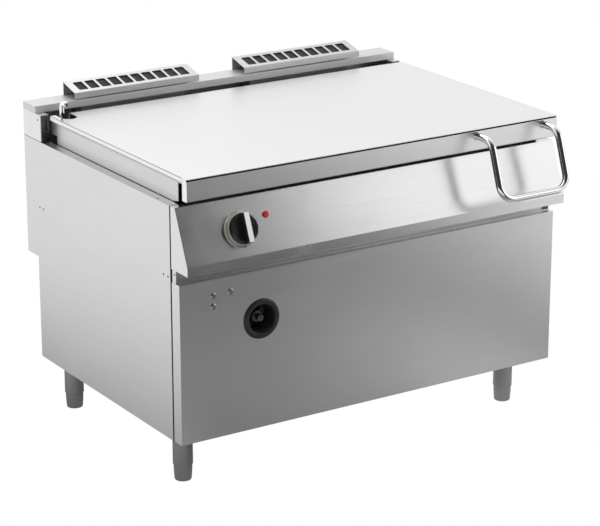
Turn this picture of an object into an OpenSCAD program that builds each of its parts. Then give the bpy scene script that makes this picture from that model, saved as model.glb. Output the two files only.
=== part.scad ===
// Gas tilting bratt pan on a cabinet base, with a hinged lid and a hand crank
// X runs to the right, Y to the back and Z up
// The origin lies on the floor under the middle of the whole machine

/* [Cabinet] */
// Width of the cabinet
body_w = 1200; // [1100:10:1300]
// Depth from the face of the front panel to the back
body_d = 855; // [835:5:880]
// Gap between the floor and the cabinet
leg_h = 150; // [130:5:180]
// Thickness of the cabinet sheet
sheet = 2; // [1.5:0.5:2.5]
// Set-back of the side panels behind the face of the front panel
side_setback = 40.5; // [40:0.5:44]
// Depth of the lower part of the back, which steps forward
low_back_d = 792; // [780:2:800]
// Height of the step in the back above the floor of the cabinet
step_h = 298; // [250:2:340]
// Width of the ledge folded in along the top of each side
ledge_w = 26; // [26:0.5:28]
// Diameter of the small holes in the side panels
side_hole_d = 6; // [4:0.5:8]

/* [Front] */
// Height of the lower front panel
front_h = 436; // [420:2:450]
// Depth of the folded box of the front panel
front_t = 38; // [34:1:39]
// Height of the recess between front panel and control panel
recess_h = 35; // [30:1:40]
// Set-back of the rail in the recess
recess_d = 34; // [28:1:35]
// Height of the control panel
ctrl_h = 167; // [160:1:175]
// Height of the upright lip along its lower edge
lip_h = 25; // [20:1:30]
// How far the lip stands out in front of the front panel
lip_out = 43.4; // [38:0.5:46]
// Depth of the flat on top of the control panel, up to its back
ctrl_top_d = 22; // [18:1:26]
// Diameter of the round pips on the front panel
pip_d = 18; // [14:1:22]

/* [Knob] */
// Diameter of the knob
knob_d = 86; // [76:1:88]
// How far the grip of the knob stands out from the panel
knob_h = 48; // [40:1:49]
// Height of the round skirt of the knob
knob_skirt_h = 28; // [20:1:32]
// Thickness of the grip bar
grip_t = 19; // [14:1:24]
// Diameter of the bezel ring
bezel_d = 97; // [92:1:104]
// Distance from the left end of the cabinet to the knob
knob_x = 173.5; // [160:0.5:190]
// Diameter of the ignition button
button_d = 16; // [12:1:20]
// Travel of the ignition button
button_travel = 4; // [2:0.5:5]

/* [Legs] */
// Diameter of the leg tubes
leg_d = 54; // [48:1:60]
// Diameter of the feet at the top
foot_d = 50; // [44:1:54]
// Height of the feet
foot_h = 45; // [36:1:55]
// Distance of the legs from the ends of the cabinet
leg_inset = 70; // [60:1:90]
// Diameter of the foot's spindle
stem_d = 16; // [12:1:20]

/* [Pan] */
// Set-back of the tilting axis behind the face of the front panel
axis_back = 28; // [26:0.5:30]
// Height of the tilting axis below the top of the control panel
axis_drop = 133; // [130:0.5:136]
// Diameter of the tilting shaft
shaft_d = 36; // [28:1:40]
// Wall of the pan
pan_wall = 3; // [2:0.5:4]
// Depth of the pan
pan_depth = 191; // [170:1:200]
// Thickness of the plate under the pan
plate_t = 12; // [8:1:15]
// Rounding of the pan's floor
pan_round = 40; // [25:1:60]
// Width of the double wall between casing and pan
pan_gap_w = 31; // [28:1:40]
// Distance from the lid's back edge to the pan's back wall
pan_back_inset = 54; // [42:2:82]
// Thickness of the arms that carry the pan
arm_t = 12; // [8:1:16]

/* [Lid] */
// Height of the lid's top above the control panel
lid_rise = 80; // [76:1:84]
// How far the lid stands in from the ends of the cabinet
lid_inset = 15; // [13:1:18]
// How far the lid's front stands out from the front panel
lid_front = 20; // [17:1:24]
// Distance from the cabinet's back to the lid's back edge
lid_back_inset = 133; // [131:1:137]
// Depth of the turned-down front of the lid
apron_h = 60; // [54:1:63]
// Thickness of the turned-down front
apron_t = 23; // [18:1:24]
// Depth of the folded edge along the sides of the lid
lid_edge_h = 19; // [17:1:20]
// Thickness of the lid sheet
lid_sheet = 2; // [1.5:0.5:2.5]
// Length of the notch for the filling spout
notch_len = 64; // [60:1:68]
// Width of that notch
notch_w = 44; // [40:1:50]

/* [Handle] */
// Diameter of the handle tube
tube_d = 20; // [16:1:24]
// Distance between the two ends of the handle
handle_w = 224; // [190:1:260]
// Distance from the right end of the cabinet to the handle
handle_inset = 58; // [52:1:80]
// How far the handle stands out before it turns down
handle_out = 58; // [54:1:62]
// How far the handle hangs below its ends
handle_drop = 153; // [140:1:160]
// Angle of the handle's legs from upright
handle_tilt = 19.5; // [16:0.5:23]
// Radius of the bends in the handle
handle_bend = 40; // [34:1:44]

/* [Back] */
// Height of the beam along the back above the control panel
beam_rise = 95; // [90:1:100]
// Height of the beam's front face
beam_h = 20; // [16:1:24]
// Depth of the beam
beam_d = 74; // [70:1:78]
// Depth of the columns at the ends of the back
column_d = 104; // [98:1:110]
// Width of the columns
column_w = 26; // [23:1:26]
// Gap between the two flue hoods
hood_gap = 153; // [109:1:229]
// Distance from the end of the cabinet to a flue hood
hood_inset = 125.5; // [110:0.5:140]
// Depth of the flue hoods
hood_d = 72; // [66:1:73]
// Height of the flue hoods at the back
hood_h = 38; // [32:1:46]
// Height of the flue hoods at the front
hood_front_h = 20; // [16:1:24]
// Number of slots in each flue hood
slot_count = 10; // [6:1:12]

/* [Spout] */
// Diameter of the filling spout
spout_d = 15; // [12:0.5:16]
// Height of the spout above the lid
spout_rise = 45; // [40:1:47]

/* [Crank] */
// Distance from the left end of the cabinet to the crank
crank_x = 244; // [236:1:252]
// Height of the crank above the floor of the cabinet
crank_h = 303; // [280:1:310]
// Outer diameter of the recess ring
cup_d = 110; // [96:1:120]
// Diameter of the recess mouth
cup_mouth_d = 79; // [70:1:84]
// Depth of the recess
cup_depth = 45; // [36:1:52]
// Diameter of the crank spindle
spindle_d = 18; // [14:1:22]

/* [Tilting gear] */
// Module of the worm and the sector
gear_m = 4; // [3.8:0.1:4.2]
// Number of teeth that a full sector wheel would have
gear_teeth = 50; // [48:1:51]
// Pitch radius of the worm
worm_r = 12; // [11.5:0.5:13]
// Thickness of the toothed sector
sector_t = 14; // [10:1:16]
// Play between a tooth and the worm's thread on each side
mesh_play = 0.35; // [0.3:0.05:0.45]
// Largest tilt of the pan
tilt_max = 75; // [70:1:75]

/* [Burners] */
// Number of burner tubes
burner_count = 4; // [3:1:5]
// Diameter of the burner tubes
burner_d = 42; // [34:1:50]
// Height of the combustion chamber
chamber_h = 134; // [110:1:140]

/* [Hidden] */

// Overrun of cuts and the gaps between pieces
over = 1;
seat_gap = 0.3;
slip = 0.05;
move_gap = 3;
unit = 1;
round_fn = 48;
small_fn = 24;

// Levels of the cabinet
cab_z = leg_h;
front_top = cab_z + front_h;
ctrl_z = front_top + recess_h;
ctrl_top = ctrl_z + ctrl_h;
ledge_z = ctrl_top - unit;
step_z = cab_z + step_h;
half_w = body_w / 2;
flange = 15;

// Slope of the control panel, measured from upright
slope_y = side_setback - seat_gap - sheet - ctrl_top_d;
ctrl_back = slope_y + ctrl_top_d;
slope_run = slope_y + lip_out;
slope_rise = ctrl_h - lip_h;
slope_a = atan2(slope_run, slope_rise);
slope_len = norm([slope_run, slope_rise]);

// Tilting axis and the circle that the fixed pieces in front stay inside
axis_y = axis_back;
axis_z = ctrl_top - axis_drop;
knob_s = 71;
knob_off_share = 0.5;
axis_to_slope = cos(slope_a) * (axis_y + lip_out) - sin(slope_a) * (axis_z - ctrl_z - lip_h);
axis_foot_s = sin(slope_a) * (axis_y + lip_out) + cos(slope_a) * (axis_z - ctrl_z - lip_h);
knob_tip_r = norm([knob_s - axis_foot_s + knob_d * knob_off_share, axis_to_slope + knob_h]);
panel_tip_r = max(norm([slope_y - axis_y, axis_drop]), norm([ctrl_back - axis_y, axis_drop]));
sweep_r = max(knob_tip_r, panel_tip_r) + move_gap + unit;
pan_front_r = sweep_r + sheet;

// Lid levels
lid_top = ctrl_top + lid_rise;
lid_bottom = lid_top - lid_edge_h;
edge_gap = 5;
liner_in = 14;
apron_bottom = lid_top - apron_h;
rim_z = lid_top - lid_edge_h - sheet - unit;
lid_half = half_w - lid_inset;

// Pan levels
pan_floor = rim_z - pan_depth;
plate_z = pan_floor - pan_wall - plate_t;
lid_back_d = body_d - lid_back_inset;
pan_back_d = lid_back_d - pan_back_inset;
hood_w = half_w - hood_inset - hood_gap / 2;
casing_x = half_w - ledge_w - move_gap;
casing_t = sheet;
pan_half = casing_x - pan_gap_w;
rim_t = pan_wall;
lip_y0 = -lid_front + apron_t + 2 * move_gap;
casing_front = axis_y + 20;
casing_back = lid_back_d + 19;
casing_low_back = lid_back_d - 12;
casing_step_z = rim_z - 36;

// Lid hinge
hinge_y = lid_back_d + 11;
hinge_z = lid_top - 13;
barrel_r = 9;
pin_r = 5;
barrel_len = 60;
hinge_x = pan_half - 95;

// Tilting gear
pitch_r = gear_m * gear_teeth / 2;
addendum = gear_m * 0.95;
dedendum = gear_m * 1.25;
tip_r = pitch_r + addendum;
root_r = pitch_r - dedendum;
lead = PI * gear_m;
lead_a = atan2(lead, 2 * PI * worm_r);
pressure_a = 20;
worm_y = axis_y + pitch_r + worm_r;
crank_cx = crank_x - half_w;
crank_z = cab_z + crank_h;
worm_len = 66;
worm_z0 = axis_z - worm_len / 2;
worm_shaft_r = 6;

// Middle of the whole machine from front to back
bar_y = -lid_front - handle_out - handle_drop * tan(handle_tilt);
mid_y = (body_d + bar_y - tube_d / 2) / 2;

// Shared helpers
module placed() {
    translate([0, -mid_y, 0]) children();
}

module x_run(x0, x1) {
    translate([x0, 0, 0]) rotate([90, 0, 90]) linear_extrude(height = x1 - x0) children();
}

module y_run(y0, y1) {
    translate([0, y1, 0]) rotate([90, 0, 0]) linear_extrude(height = y1 - y0) children();
}

module box(lo, hi) {
    translate(lo) cube([hi[0] - lo[0], hi[1] - lo[1], hi[2] - lo[2]]);
}

module rod_x(x0, x1, y, z, d, fn = round_fn) {
    translate([x0, y, z]) rotate([0, 90, 0]) cylinder(h = x1 - x0, d = d, $fn = fn);
}

module rod_y(y0, y1, x, z, d, fn = round_fn) {
    translate([x, y1, z]) rotate([90, 0, 0]) cylinder(h = y1 - y0, d = d, $fn = fn);
}

module rod_z(z0, z1, x, y, d, fn = round_fn) {
    translate([x, y, z0]) cylinder(h = z1 - z0, d = d, $fn = fn);
}

module both_ends() {
    children();
    mirror([1, 0, 0]) children();
}

// Local Y runs up the control panel's slope and local Z stands out from it
module on_slope(x, s) {
    translate([x, -lip_out + s * sin(slope_a), ctrl_z + lip_h + s * cos(slope_a)])
        rotate([90 - slope_a, 0, 0]) children();
}

// A square tube along X, Y or Z, open at its ends
frame_tube = 40;
frame_wall = 3;

module tube_box(lo, hi, dir) {
    in = [for (i = [0:2]) i == dir ? -over : frame_wall];
    difference() {
        box(lo, hi);
        box(lo + in, hi - in);
    }
}

// Cabinet frame of welded square tube
frame_x = half_w - sheet - seat_gap;
frame_front = side_setback + sheet;
frame_back = low_back_d - sheet;
post_x = frame_x - frame_tube;
cross_y = worm_y + 40;
rail_top = axis_z - 34;
post_w = 22;
pad_h = 24;
pad_rows = [cab_z + 2 * pad_h, cab_z + front_h / 2, front_top - 2 * pad_h];

module base_frame() placed() color("dimgray") {
    z0 = cab_z + sheet;
    z1 = z0 + frame_tube;
    both_ends() {
        tube_box([post_x, frame_front, z0], [frame_x, frame_back, z1], 1);
        tube_box([post_x, frame_front, z1], [frame_x, frame_front + frame_tube, rail_top + frame_tube], 2);
        tube_box([frame_x - post_w, frame_back - frame_tube, z1], [frame_x, frame_back, ledge_z - sheet], 2);
        tube_box([post_x, frame_front + frame_tube, rail_top - frame_tube],
            [frame_x, frame_back - frame_tube, rail_top], 1);
    }
    for (y = [frame_front, cross_y, frame_back - frame_tube])
        tube_box([-post_x, y, z0], [post_x, y + frame_tube, z1], 0);
    tube_box([-(frame_x - post_w), frame_back - frame_tube, step_z],
        [frame_x - post_w, frame_back, step_z + frame_tube], 0);
}

// Spacers between the frame's front posts and the front panels
module panel_spacers() placed() color("gray") both_ends() {
    x0 = post_x + sheet;
    x1 = half_w - flange - unit;
    for (z = pad_rows) box([x0, front_t, z], [x1, frame_front, z + pad_h]);
    box([x0, ctrl_back, ctrl_z + pad_h / 2], [x1, frame_front, ctrl_z + 1.5 * pad_h]);
}

// Side panels with their folded edges
pair_gap = 23;
pair_z = axis_z - 59;
front_pair_y = side_setback + 27;
rear_pair_y = frame_back - 29;

module side_outline() {
    polygon([[side_setback, cab_z], [low_back_d, cab_z], [low_back_d, step_z], [body_d, step_z],
        [body_d, ledge_z], [side_setback, ledge_z]]);
}

module side_panel() {
    difference() {
        union() {
            x_run(half_w - sheet, half_w) side_outline();
            box([half_w - ledge_w, side_setback, ledge_z - sheet], [half_w, body_d, ledge_z]);
            box([half_w - flange, side_setback, cab_z], [half_w, side_setback + sheet, ledge_z]);
            box([half_w - flange, side_setback, cab_z], [half_w, low_back_d, cab_z + sheet]);
            box([half_w - flange, low_back_d, step_z], [half_w, body_d, step_z + sheet]);
        }
        for (y = [front_pair_y, rear_pair_y], s = [-0.5, 0.5])
            rod_x(half_w - sheet - over, half_w + over, y + s * pair_gap, pair_z, side_hole_d, small_fn);
        rod_z(ledge_z - sheet - over, ledge_z + over, half_w - ledge_w / 3, front_pair_y * 1.7,
            side_hole_d, small_fn);
    }
}

module left_side_panel() placed() color("silver") mirror([1, 0, 0]) side_panel();

module right_side_panel() placed() color("silver") side_panel();

// Lower front panel, a shallow folded box with the hole for the crank recess
module front_panel() placed() color("silver") difference() {
    box([-half_w, 0, cab_z], [half_w, front_t, front_top]);
    box([-half_w + sheet, sheet, cab_z + sheet], [half_w - sheet, front_t - sheet, front_top - sheet]);
    box([-half_w + 2 * flange, sheet, cab_z + flange], [half_w - 2 * flange, front_t + over, front_top
        - flange]);
    rod_y(-over, sheet + over, crank_cx, crank_z, cup_mouth_d + 4 * sheet);
}

// Rail at the back of the recess, with one crease along it
crease_share = 0.55;

module recess_rail() placed() color("gray") {
    y = recess_d;
    zc = front_top + recess_h * crease_share;
    y2 = y + sheet;
    end = half_w - sheet;
    difference() {
        union() {
            x_run(-end, end) polygon([[y - flange, front_top], [y + sheet, front_top],
                [y + sheet, zc], [y2 + sheet, zc], [y2 + sheet, ctrl_z],
                [y2, ctrl_z], [y2, zc + sheet], [y, zc + sheet], [y, front_top + sheet],
                [y - flange, front_top + sheet]]);
            both_ends() box([end - sheet, y - flange, front_top], [end, y2 + sheet, ctrl_z]);
        }
        both_ends() rod_x(end - sheet - over, end + over, y - flange / 2, ctrl_z - flange * 0.8, side_hole_d,
            small_fn);
    }
}

// Sloped control panel with closed ends and an open back
module control_outline() {
    polygon([[-lip_out, ctrl_z], [-lip_out, ctrl_z + lip_h], [slope_y, ctrl_top],
        [ctrl_back, ctrl_top], [ctrl_back, ctrl_z]]);
}

module control_hollow() {
    side = sheet / cos(slope_a);
    polygon([[-lip_out + sheet, ctrl_z + sheet],
        [-lip_out + sheet, ctrl_z + lip_h - (side - sheet) / tan(slope_a)],
        [slope_y + side - sheet * tan(slope_a), ctrl_top - sheet],
        [ctrl_back - sheet, ctrl_top - sheet], [ctrl_back - sheet, ctrl_z + sheet]]);
}

knob_cx = knob_x - half_w;
button_cx = knob_cx + knob_d * 0.94;
button_s = knob_s + 26;
valve_stem_d = 10;
button_hole_d = button_d + 2 * slip;

module control_panel() placed() color("silver") difference() {
    x_run(-half_w, half_w) control_outline();
    x_run(-half_w + sheet, half_w - sheet) control_hollow();
    box([-half_w + 2 * flange, ctrl_back - 2 * sheet, ctrl_z + sheet], [half_w - 2 * flange, ctrl_back + over,
        ctrl_top - flange]);
    on_slope(knob_cx, knob_s) translate([0, 0, -sheet - over])
        cylinder(h = sheet + 2 * over, d = valve_stem_d + 2, $fn = round_fn);
    on_slope(button_cx, button_s) translate([0, 0, -sheet - over])
        cylinder(h = sheet + 2 * over, d = button_hole_d, $fn = round_fn);
}

// Panels of the back and the floor
inlet_z = cab_z + 100;
gas_inlet_x = knob_cx - 44;
water_inlet_x = -gas_inlet_x;
pipe_d = 22;
stub_d = 27;
inlet_d = 30;

module lower_back_panel() placed() color("darkgray") difference() {
    box([-half_w + sheet, frame_back, cab_z + sheet], [half_w - sheet, low_back_d, step_z]);
    for (x = [gas_inlet_x, water_inlet_x]) rod_y(frame_back - over, low_back_d + over, x, inlet_z, inlet_d);
}

vent_count = 12;
vent_w = 5;
vent_pitch = 24;
vent_h = 110;

module upper_back_panel() placed() color("darkgray") difference() {
    union() {
        box([-half_w + sheet, body_d - sheet, step_z + sheet], [half_w - sheet, body_d, ledge_z - sheet]);
        box([-half_w + ledge_w, body_d - sheet, step_z + sheet], [half_w - ledge_w, body_d, beam_z - beam_h]);
        box([-half_w + flange, frame_back, step_z + sheet], [half_w - flange, body_d - sheet, step_z + 2 * sheet]);
    }
    for (i = [0:vent_count - 1]) {
        x = (i - (vent_count - 1) / 2) * vent_pitch;
        box([x, body_d - sheet - over, step_z + vent_h], [x + vent_w, body_d + over, step_z + 2 * vent_h]);
    }
}

module bottom_panel() placed() color("darkgray") difference() {
    box([-half_w + flange, front_t + sheet + flange, cab_z], [half_w - flange, frame_back, cab_z + sheet]);
    for (x = [-1, 1], y = leg_rows)
        rod_z(cab_z - over, cab_z + sheet + over, x * leg_x, y, leg_d - 2 * frame_wall);
    for (i = [0:vent_count - 1]) {
        x = (i - (vent_count - 1) / 2) * vent_pitch;
        box([x, body_d / 2, cab_z - over], [x + vent_w, body_d / 2 + vent_h, cab_z + sheet + over]);
    }
}

// Beam along the back, folded from sheet, with two openings under the hoods
beam_z = ctrl_top + beam_rise;
beam_front = body_d - beam_d;
duct_w = hood_w - 4 * flange;
duct_d = hood_d - 2 * flange;
duct_back = body_d - flange / 2;
hood_cx = half_w - hood_inset - hood_w / 2;

module rear_beam() placed() color("silver") difference() {
    union() {
        box([-half_w, beam_front, beam_z - sheet], [half_w, body_d, beam_z]);
        box([-half_w, beam_front, beam_z - beam_h], [half_w, beam_front + sheet, beam_z]);
        box([-half_w + sheet, body_d - sheet, beam_z - beam_h], [half_w - sheet, body_d, beam_z]);
        box([-post_x, beam_front, beam_z - beam_h], [post_x, beam_front + flange / 2, beam_z - beam_h + sheet]);
        both_ends() box([half_w - sheet, beam_front, beam_z - beam_h], [half_w, body_d, beam_z]);
    }
    both_ends() box([hood_cx - duct_w / 2 - unit, duct_back - duct_d - unit, beam_z - sheet - over],
        [hood_cx + duct_w / 2 + unit, duct_back + unit, beam_z + over]);
}

// Columns at both ends of the back and the dark plates with the guide slots
module column() difference() {
    box([half_w - column_w, body_d - column_d, ledge_z], [half_w, body_d, beam_z - beam_h]);
    box([half_w - column_w + sheet, body_d - column_d + sheet, ledge_z - over],
        [half_w - sheet, body_d - sheet, beam_z - beam_h - sheet]);
    rod_x(half_w - sheet - over, half_w + over, body_d - column_d + flange + sheet, beam_z - beam_h - flange,
        side_hole_d, small_fn);
}

module rear_columns() placed() color("silver") both_ends() column();

guide_slot_w = 6;
guide_slot_share = 0.6;
guide_hole_w = 10;

module hinge_guide_plates() placed() color("#3c3c3e") both_ends() {
    x0 = half_w - column_w;
    x1 = half_w - sheet;
    y1 = body_d - column_d;
    z1 = beam_z - beam_h;
    h = z1 - ledge_z;
    slot_x = x1 - (x1 - x0) * guide_slot_share;
    slot_low = z1 - h * guide_slot_share;
    difference() {
        box([x0, y1 - sheet, ledge_z], [x1, y1, z1]);
        box([slot_x - guide_slot_w / 2, y1 - sheet - over, slot_low], [slot_x + guide_slot_w / 2, y1 + over,
            z1 - h / guide_hole_w]);
        box([slot_x - guide_hole_w / 2, y1 - sheet - over, slot_low], [slot_x + guide_hole_w / 2, y1 + over,
            slot_low + guide_hole_w]);
    }
}

// Flue hoods, folded sheet with a row of rounded slots in the slope
hood_a = atan2(hood_h - hood_front_h, hood_d);
hood_len = norm([hood_h - hood_front_h, hood_d]);
hood_lip_gap = 3;
slot_share = 0.8;
slot_len_share = 0.64;
slot_margin = 18;

module slot_shape(w, h, r) {
    square([w - 2 * r, h], center = true);
    square([w, h - 2 * r], center = true);
    for (x = [-1, 1], y = [-1, 1]) translate([x * (w / 2 - r), y * (h / 2 - r)]) circle(r = r, $fn = small_fn);
}

module flue_hood() {
    y0 = body_d - hood_d;
    x0 = hood_cx - hood_w / 2;
    x1 = hood_cx + hood_w / 2;
    pitch = (hood_w - 2 * slot_margin) / slot_count;
    slot_r = 4;
    difference() {
        x_run(x0, x1) difference() {
            polygon([[y0, beam_z], [y0, beam_z + hood_front_h], [body_d, beam_z + hood_h], [body_d, beam_z]]);
            polygon([[y0 + sheet, beam_z - over], [y0 + sheet, beam_z + hood_front_h - sheet],
                [body_d - sheet, beam_z + hood_h - sheet - sheet * tan(hood_a)], [body_d - sheet, beam_z - over]]);
        }
        box([x0 - over, y0 - over, beam_z - over], [x1 + over, y0 + sheet + over, beam_z + hood_lip_gap]);
        for (i = [0:slot_count - 1]) {
            x = x0 + slot_margin + (i + 0.5) * pitch;
            translate([x, y0, beam_z + hood_front_h]) rotate([hood_a, 0, 0])
                translate([0, hood_len / 2, -2 * sheet]) linear_extrude(height = 4 * sheet)
                    slot_shape(pitch * slot_share, hood_len * slot_len_share, slot_r);
        }
    }
}

module left_flue_hood() placed() color("silver") mirror([1, 0, 0]) flue_hood();

module right_flue_hood() placed() color("silver") flue_hood();

// Ducts from the combustion chamber up to the hoods
chamber_top = plate_z - 2 * move_gap;
chamber_z = chamber_top - chamber_h;
chamber_front = worm_y + 52;
chamber_back = pan_back_d - 30;
chamber_half = pan_half - 46;
duct_collar = 12;
duct_h = chamber_h / 2;

module flue_duct() {
    x0 = hood_cx - duct_w / 2;
    x1 = hood_cx + duct_w / 2;
    y0 = duct_back - duct_d;
    z0 = chamber_z + chamber_h / 4;
    difference() {
        union() {
            box([x0, y0, z0], [x1, duct_back, beam_z + duct_collar]);
            box([x0, chamber_back, z0], [x1, duct_back, z0 + duct_h]);
        }
        box([x0 + sheet, y0 + sheet, z0 + sheet], [x1 - sheet, duct_back - sheet, beam_z + duct_collar + over]);
        box([x0 + sheet, chamber_back - over, z0 + sheet], [x1 - sheet, duct_back - sheet, z0 + duct_h - sheet]);
    }
}

module flue_ducts() placed() color("gray") both_ends() flue_duct();

// Legs and the feet that screw into them
leg_x = half_w - leg_inset;
leg_rows = [118, low_back_d - 57];
stem_h = 60;
leg_plug_h = 20;

module leg_tube(x, y) difference() {
    rod_z(foot_h + seat_gap, cab_z, x, y, leg_d);
    rod_z(foot_h + leg_plug_h, cab_z + over, x, y, leg_d - 2 * frame_wall);
    rod_z(foot_h - over, cab_z, x, y, stem_d + 2 * seat_gap);
}

module leg_tubes() placed() color("gray") for (x = [-1, 1], y = leg_rows) leg_tube(x * leg_x, y);

foot_taper = 2;
foot_round = 4;

module foot(x, y) {
    translate([x, y, 0]) rotate_extrude($fn = round_fn) {
        polygon([[0, 0], [foot_d / 2 - foot_taper - foot_round, 0],
            [foot_d / 2 - foot_taper - foot_round * 0.3, foot_round * 0.3], [foot_d / 2 - foot_taper, foot_round],
            [foot_d / 2, foot_h * 0.7], [foot_d / 2, foot_h], [0, foot_h]]);
    }
    rod_z(foot_h, foot_h + stem_h, x, y, stem_d);
}

module front_left_foot() placed() color("darkgray") foot(-leg_x, leg_rows[0]);

module front_right_foot() placed() color("darkgray") foot(leg_x, leg_rows[0]);

module rear_left_foot() placed() color("darkgray") foot(-leg_x, leg_rows[1]);

module rear_right_foot() placed() color("darkgray") foot(leg_x, leg_rows[1]);

// Bearings of the tilting shaft, bolted to the front posts
bearing_r = shaft_d / 2 + 12;
bearing_t = 20;
bearing_x = post_x;

module bearing() difference() {
    union() {
        rod_x(bearing_x - bearing_t, bearing_x, axis_y, axis_z, 2 * bearing_r);
        box([bearing_x - bearing_t, axis_y, axis_z - bearing_r], [bearing_x, frame_front + frame_tube, axis_z]);
    }
    rod_x(bearing_x - bearing_t - over, bearing_x + 2 * over, axis_y, axis_z, shaft_d + 2 * slip);
}

module shaft_bearings() placed() color("dimgray") both_ends() bearing();

// Three raised round pips near the crank recess
pip_spots = [[100, 391], [100, 362], [151, 394]];
pip_h = 2.5;

module front_panel_pips() placed() color("silver") for (p = pip_spots)
    translate([p[0] - half_w, 0, cab_z + p[1]]) rotate([90, 0, 0]) rotate_extrude($fn = round_fn)
        polygon([[0, 0], [pip_d / 2, 0], [pip_d / 2, pip_h * 0.4], [pip_d * 0.38, pip_h], [0, pip_h]]);

// Recess for the crank: a ring on the panel and a deep round cup
cup_wall = 2.5;
ring_h = 4;
cup_floor_share = 0.9;

module crank_recess() placed() color("#222222") translate([crank_cx, 0, crank_z]) rotate([90, 0, 0])
    rotate_extrude($fn = 64) polygon([[spindle_d / 2 + slip, -cup_depth], [cup_mouth_d / 2 * cup_floor_share
        + cup_wall, -cup_depth], [cup_mouth_d / 2 + cup_wall, 0], [cup_d / 2, 0], [cup_d / 2, ring_h * 0.4],
        [cup_d / 2 - ring_h, ring_h], [cup_mouth_d / 2 + unit, ring_h], [cup_mouth_d / 2, ring_h - unit],
        [cup_mouth_d / 2 * cup_floor_share, -cup_depth + cup_wall], [spindle_d / 2 + slip, -cup_depth + cup_wall]]);

// Right-angle gearbox and the bracket that carries it
box_w = 72;
box_front = worm_y - 36;
bracket_y = worm_y + 36;
block_z = worm_z0 - 22;
block_h = 14;
journal_half = 13;

module gearbox() placed() color("slategray") difference() {
    union() {
        box([crank_cx - box_w / 2, box_front, crank_z - box_w / 2], [crank_cx + box_w / 2, bracket_y,
            crank_z + box_w / 2]);
        rod_y(box_front - flange / 2, box_front, crank_cx, crank_z, 2 * spindle_d);
        rod_z(crank_z + box_w / 2, crank_z + box_w / 2 + flange / 2, crank_cx, worm_y, 2 * spindle_d);
    }
    rod_y(box_front - flange, worm_y - 2 * worm_shaft_r, crank_cx, crank_z, spindle_d + 2 * slip);
    rod_z(crank_z + 2 * worm_shaft_r, crank_z + box_w, crank_cx, worm_y, 2 * (worm_shaft_r + slip));
}

module gearbox_bracket() placed() color("dimgray") difference() {
    union() {
        box([crank_cx - box_w / 2, bracket_y, cab_z + sheet + frame_tube], [crank_cx + box_w / 2,
            bracket_y + 2 * sheet, block_z + block_h]);
        box([crank_cx - box_w / 4, worm_y - journal_half, block_z], [crank_cx + box_w / 4, bracket_y, block_z + block_h]);
        box([crank_cx - box_w / 2, bracket_y, cab_z + sheet + frame_tube], [crank_cx + box_w / 2,
            cross_y + frame_tube, cab_z + sheet + frame_tube + 2 * sheet]);
    }
    rod_z(block_z - over, block_z + block_h + over, crank_cx, worm_y, 2 * (worm_shaft_r + slip));
}

// Bezel ring, knob and chrome strip of the burner control
bezel_h = 3;
pointer_w = 6;

module knob_bezel() placed() color("gainsboro") on_slope(knob_cx, knob_s) difference() {
    rotate_extrude($fn = 64) polygon([[knob_d / 2 - 4, 0], [bezel_d / 2, 0], [bezel_d / 2, bezel_h * 0.5],
        [bezel_d / 2 - bezel_h * 0.5, bezel_h], [knob_d / 2 + unit, bezel_h], [knob_d / 2 - 4, bezel_h * 0.4]]);
    translate([0, -bezel_d / 2, bezel_h]) rotate([0, 0, 45]) cube([pointer_w, pointer_w, 2 * unit],
        center = true);
}

knob_z0 = bezel_h + seat_gap;

module control_knob() placed() color("#1c1c1c") on_slope(knob_cx, knob_s) {
    difference() {
        rotate_extrude($fn = 64) polygon([[valve_stem_d / 2, knob_z0], [knob_d / 2 - unit, knob_z0],
            [knob_d / 2, knob_z0 + unit], [knob_d / 2 - 3, knob_skirt_h - 3], [knob_d / 2 - 6, knob_skirt_h],
            [valve_stem_d / 2, knob_skirt_h]]);
        both_sides() grip_scoop();
    }
    intersection() {
        translate([-grip_t / 2, -knob_d / 2, knob_z0 + 2 * unit]) cube([grip_t, knob_d, knob_h - knob_z0
            - 2 * unit - strip_t]);
        translate([0, 0, knob_z0]) cylinder(h = knob_h, d1 = knob_d - 2, d2 = knob_d - 6, $fn = 64);
    }
    translate([0, 0, -valve_depth / 3]) cylinder(h = valve_depth / 3 + knob_skirt_h, d = valve_stem_d,
        $fn = round_fn);
}

strip_t = 2;
scoop_r = 26;

module both_sides() {
    children();
    mirror([1, 0, 0]) children();
}

module grip_scoop() translate([grip_t / 2 + scoop_r, 0, knob_skirt_h + scoop_r * 0.35])
    rotate([90, 0, 0]) cylinder(h = knob_d, r = scoop_r, center = true, $fn = 64);

module knob_strip() placed() color("whitesmoke") on_slope(knob_cx, knob_s)
    translate([0, 0, knob_h - strip_t]) intersection() {
        translate([-grip_t / 3, -knob_d / 2, 0]) cube([grip_t * 2 / 3, knob_d, strip_t]);
        cylinder(h = strip_t, d = knob_d - 7, $fn = 64);
    }

// Thermostatic gas valve behind the knob, and its pipework
valve_depth = 46;
valve_w = 30;
valve_cx_off = 4;

valve_block_z = axis_z + 34;
valve_block_h = 24;
valve_block_y = 4;

module gas_valve() placed() color("slategray") {
    on_slope(knob_cx, knob_s) difference() {
        translate([-valve_w - valve_cx_off, -valve_w / 2, -sheet - valve_depth]) cube([2 * valve_w - flange
            + valve_cx_off, valve_w, valve_depth]);
        translate([0, 0, -sheet - valve_depth / 2]) cylinder(h = valve_depth, d = valve_stem_d + 2 * slip,
            $fn = round_fn);
    }
    box([gas_inlet_x - pipe_d / 2, valve_block_y, valve_block_z], [outlet_x + pipe_d / 2, gas_run_y + pipe_d / 2,
        valve_block_z + valve_block_h]);
}

igniter_len = 40;

module igniter_body() placed() color("#2b2b2b") on_slope(button_cx, button_s) difference() {
    translate([0, 0, -sheet - igniter_len]) cylinder(h = igniter_len, d = button_d + 6, $fn = round_fn);
    translate([0, 0, -sheet - button_travel - 8]) cylinder(h = button_travel + 8 + over, d = button_d
        + 2 * slip, $fn = round_fn);
}

button_out = 6;

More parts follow.
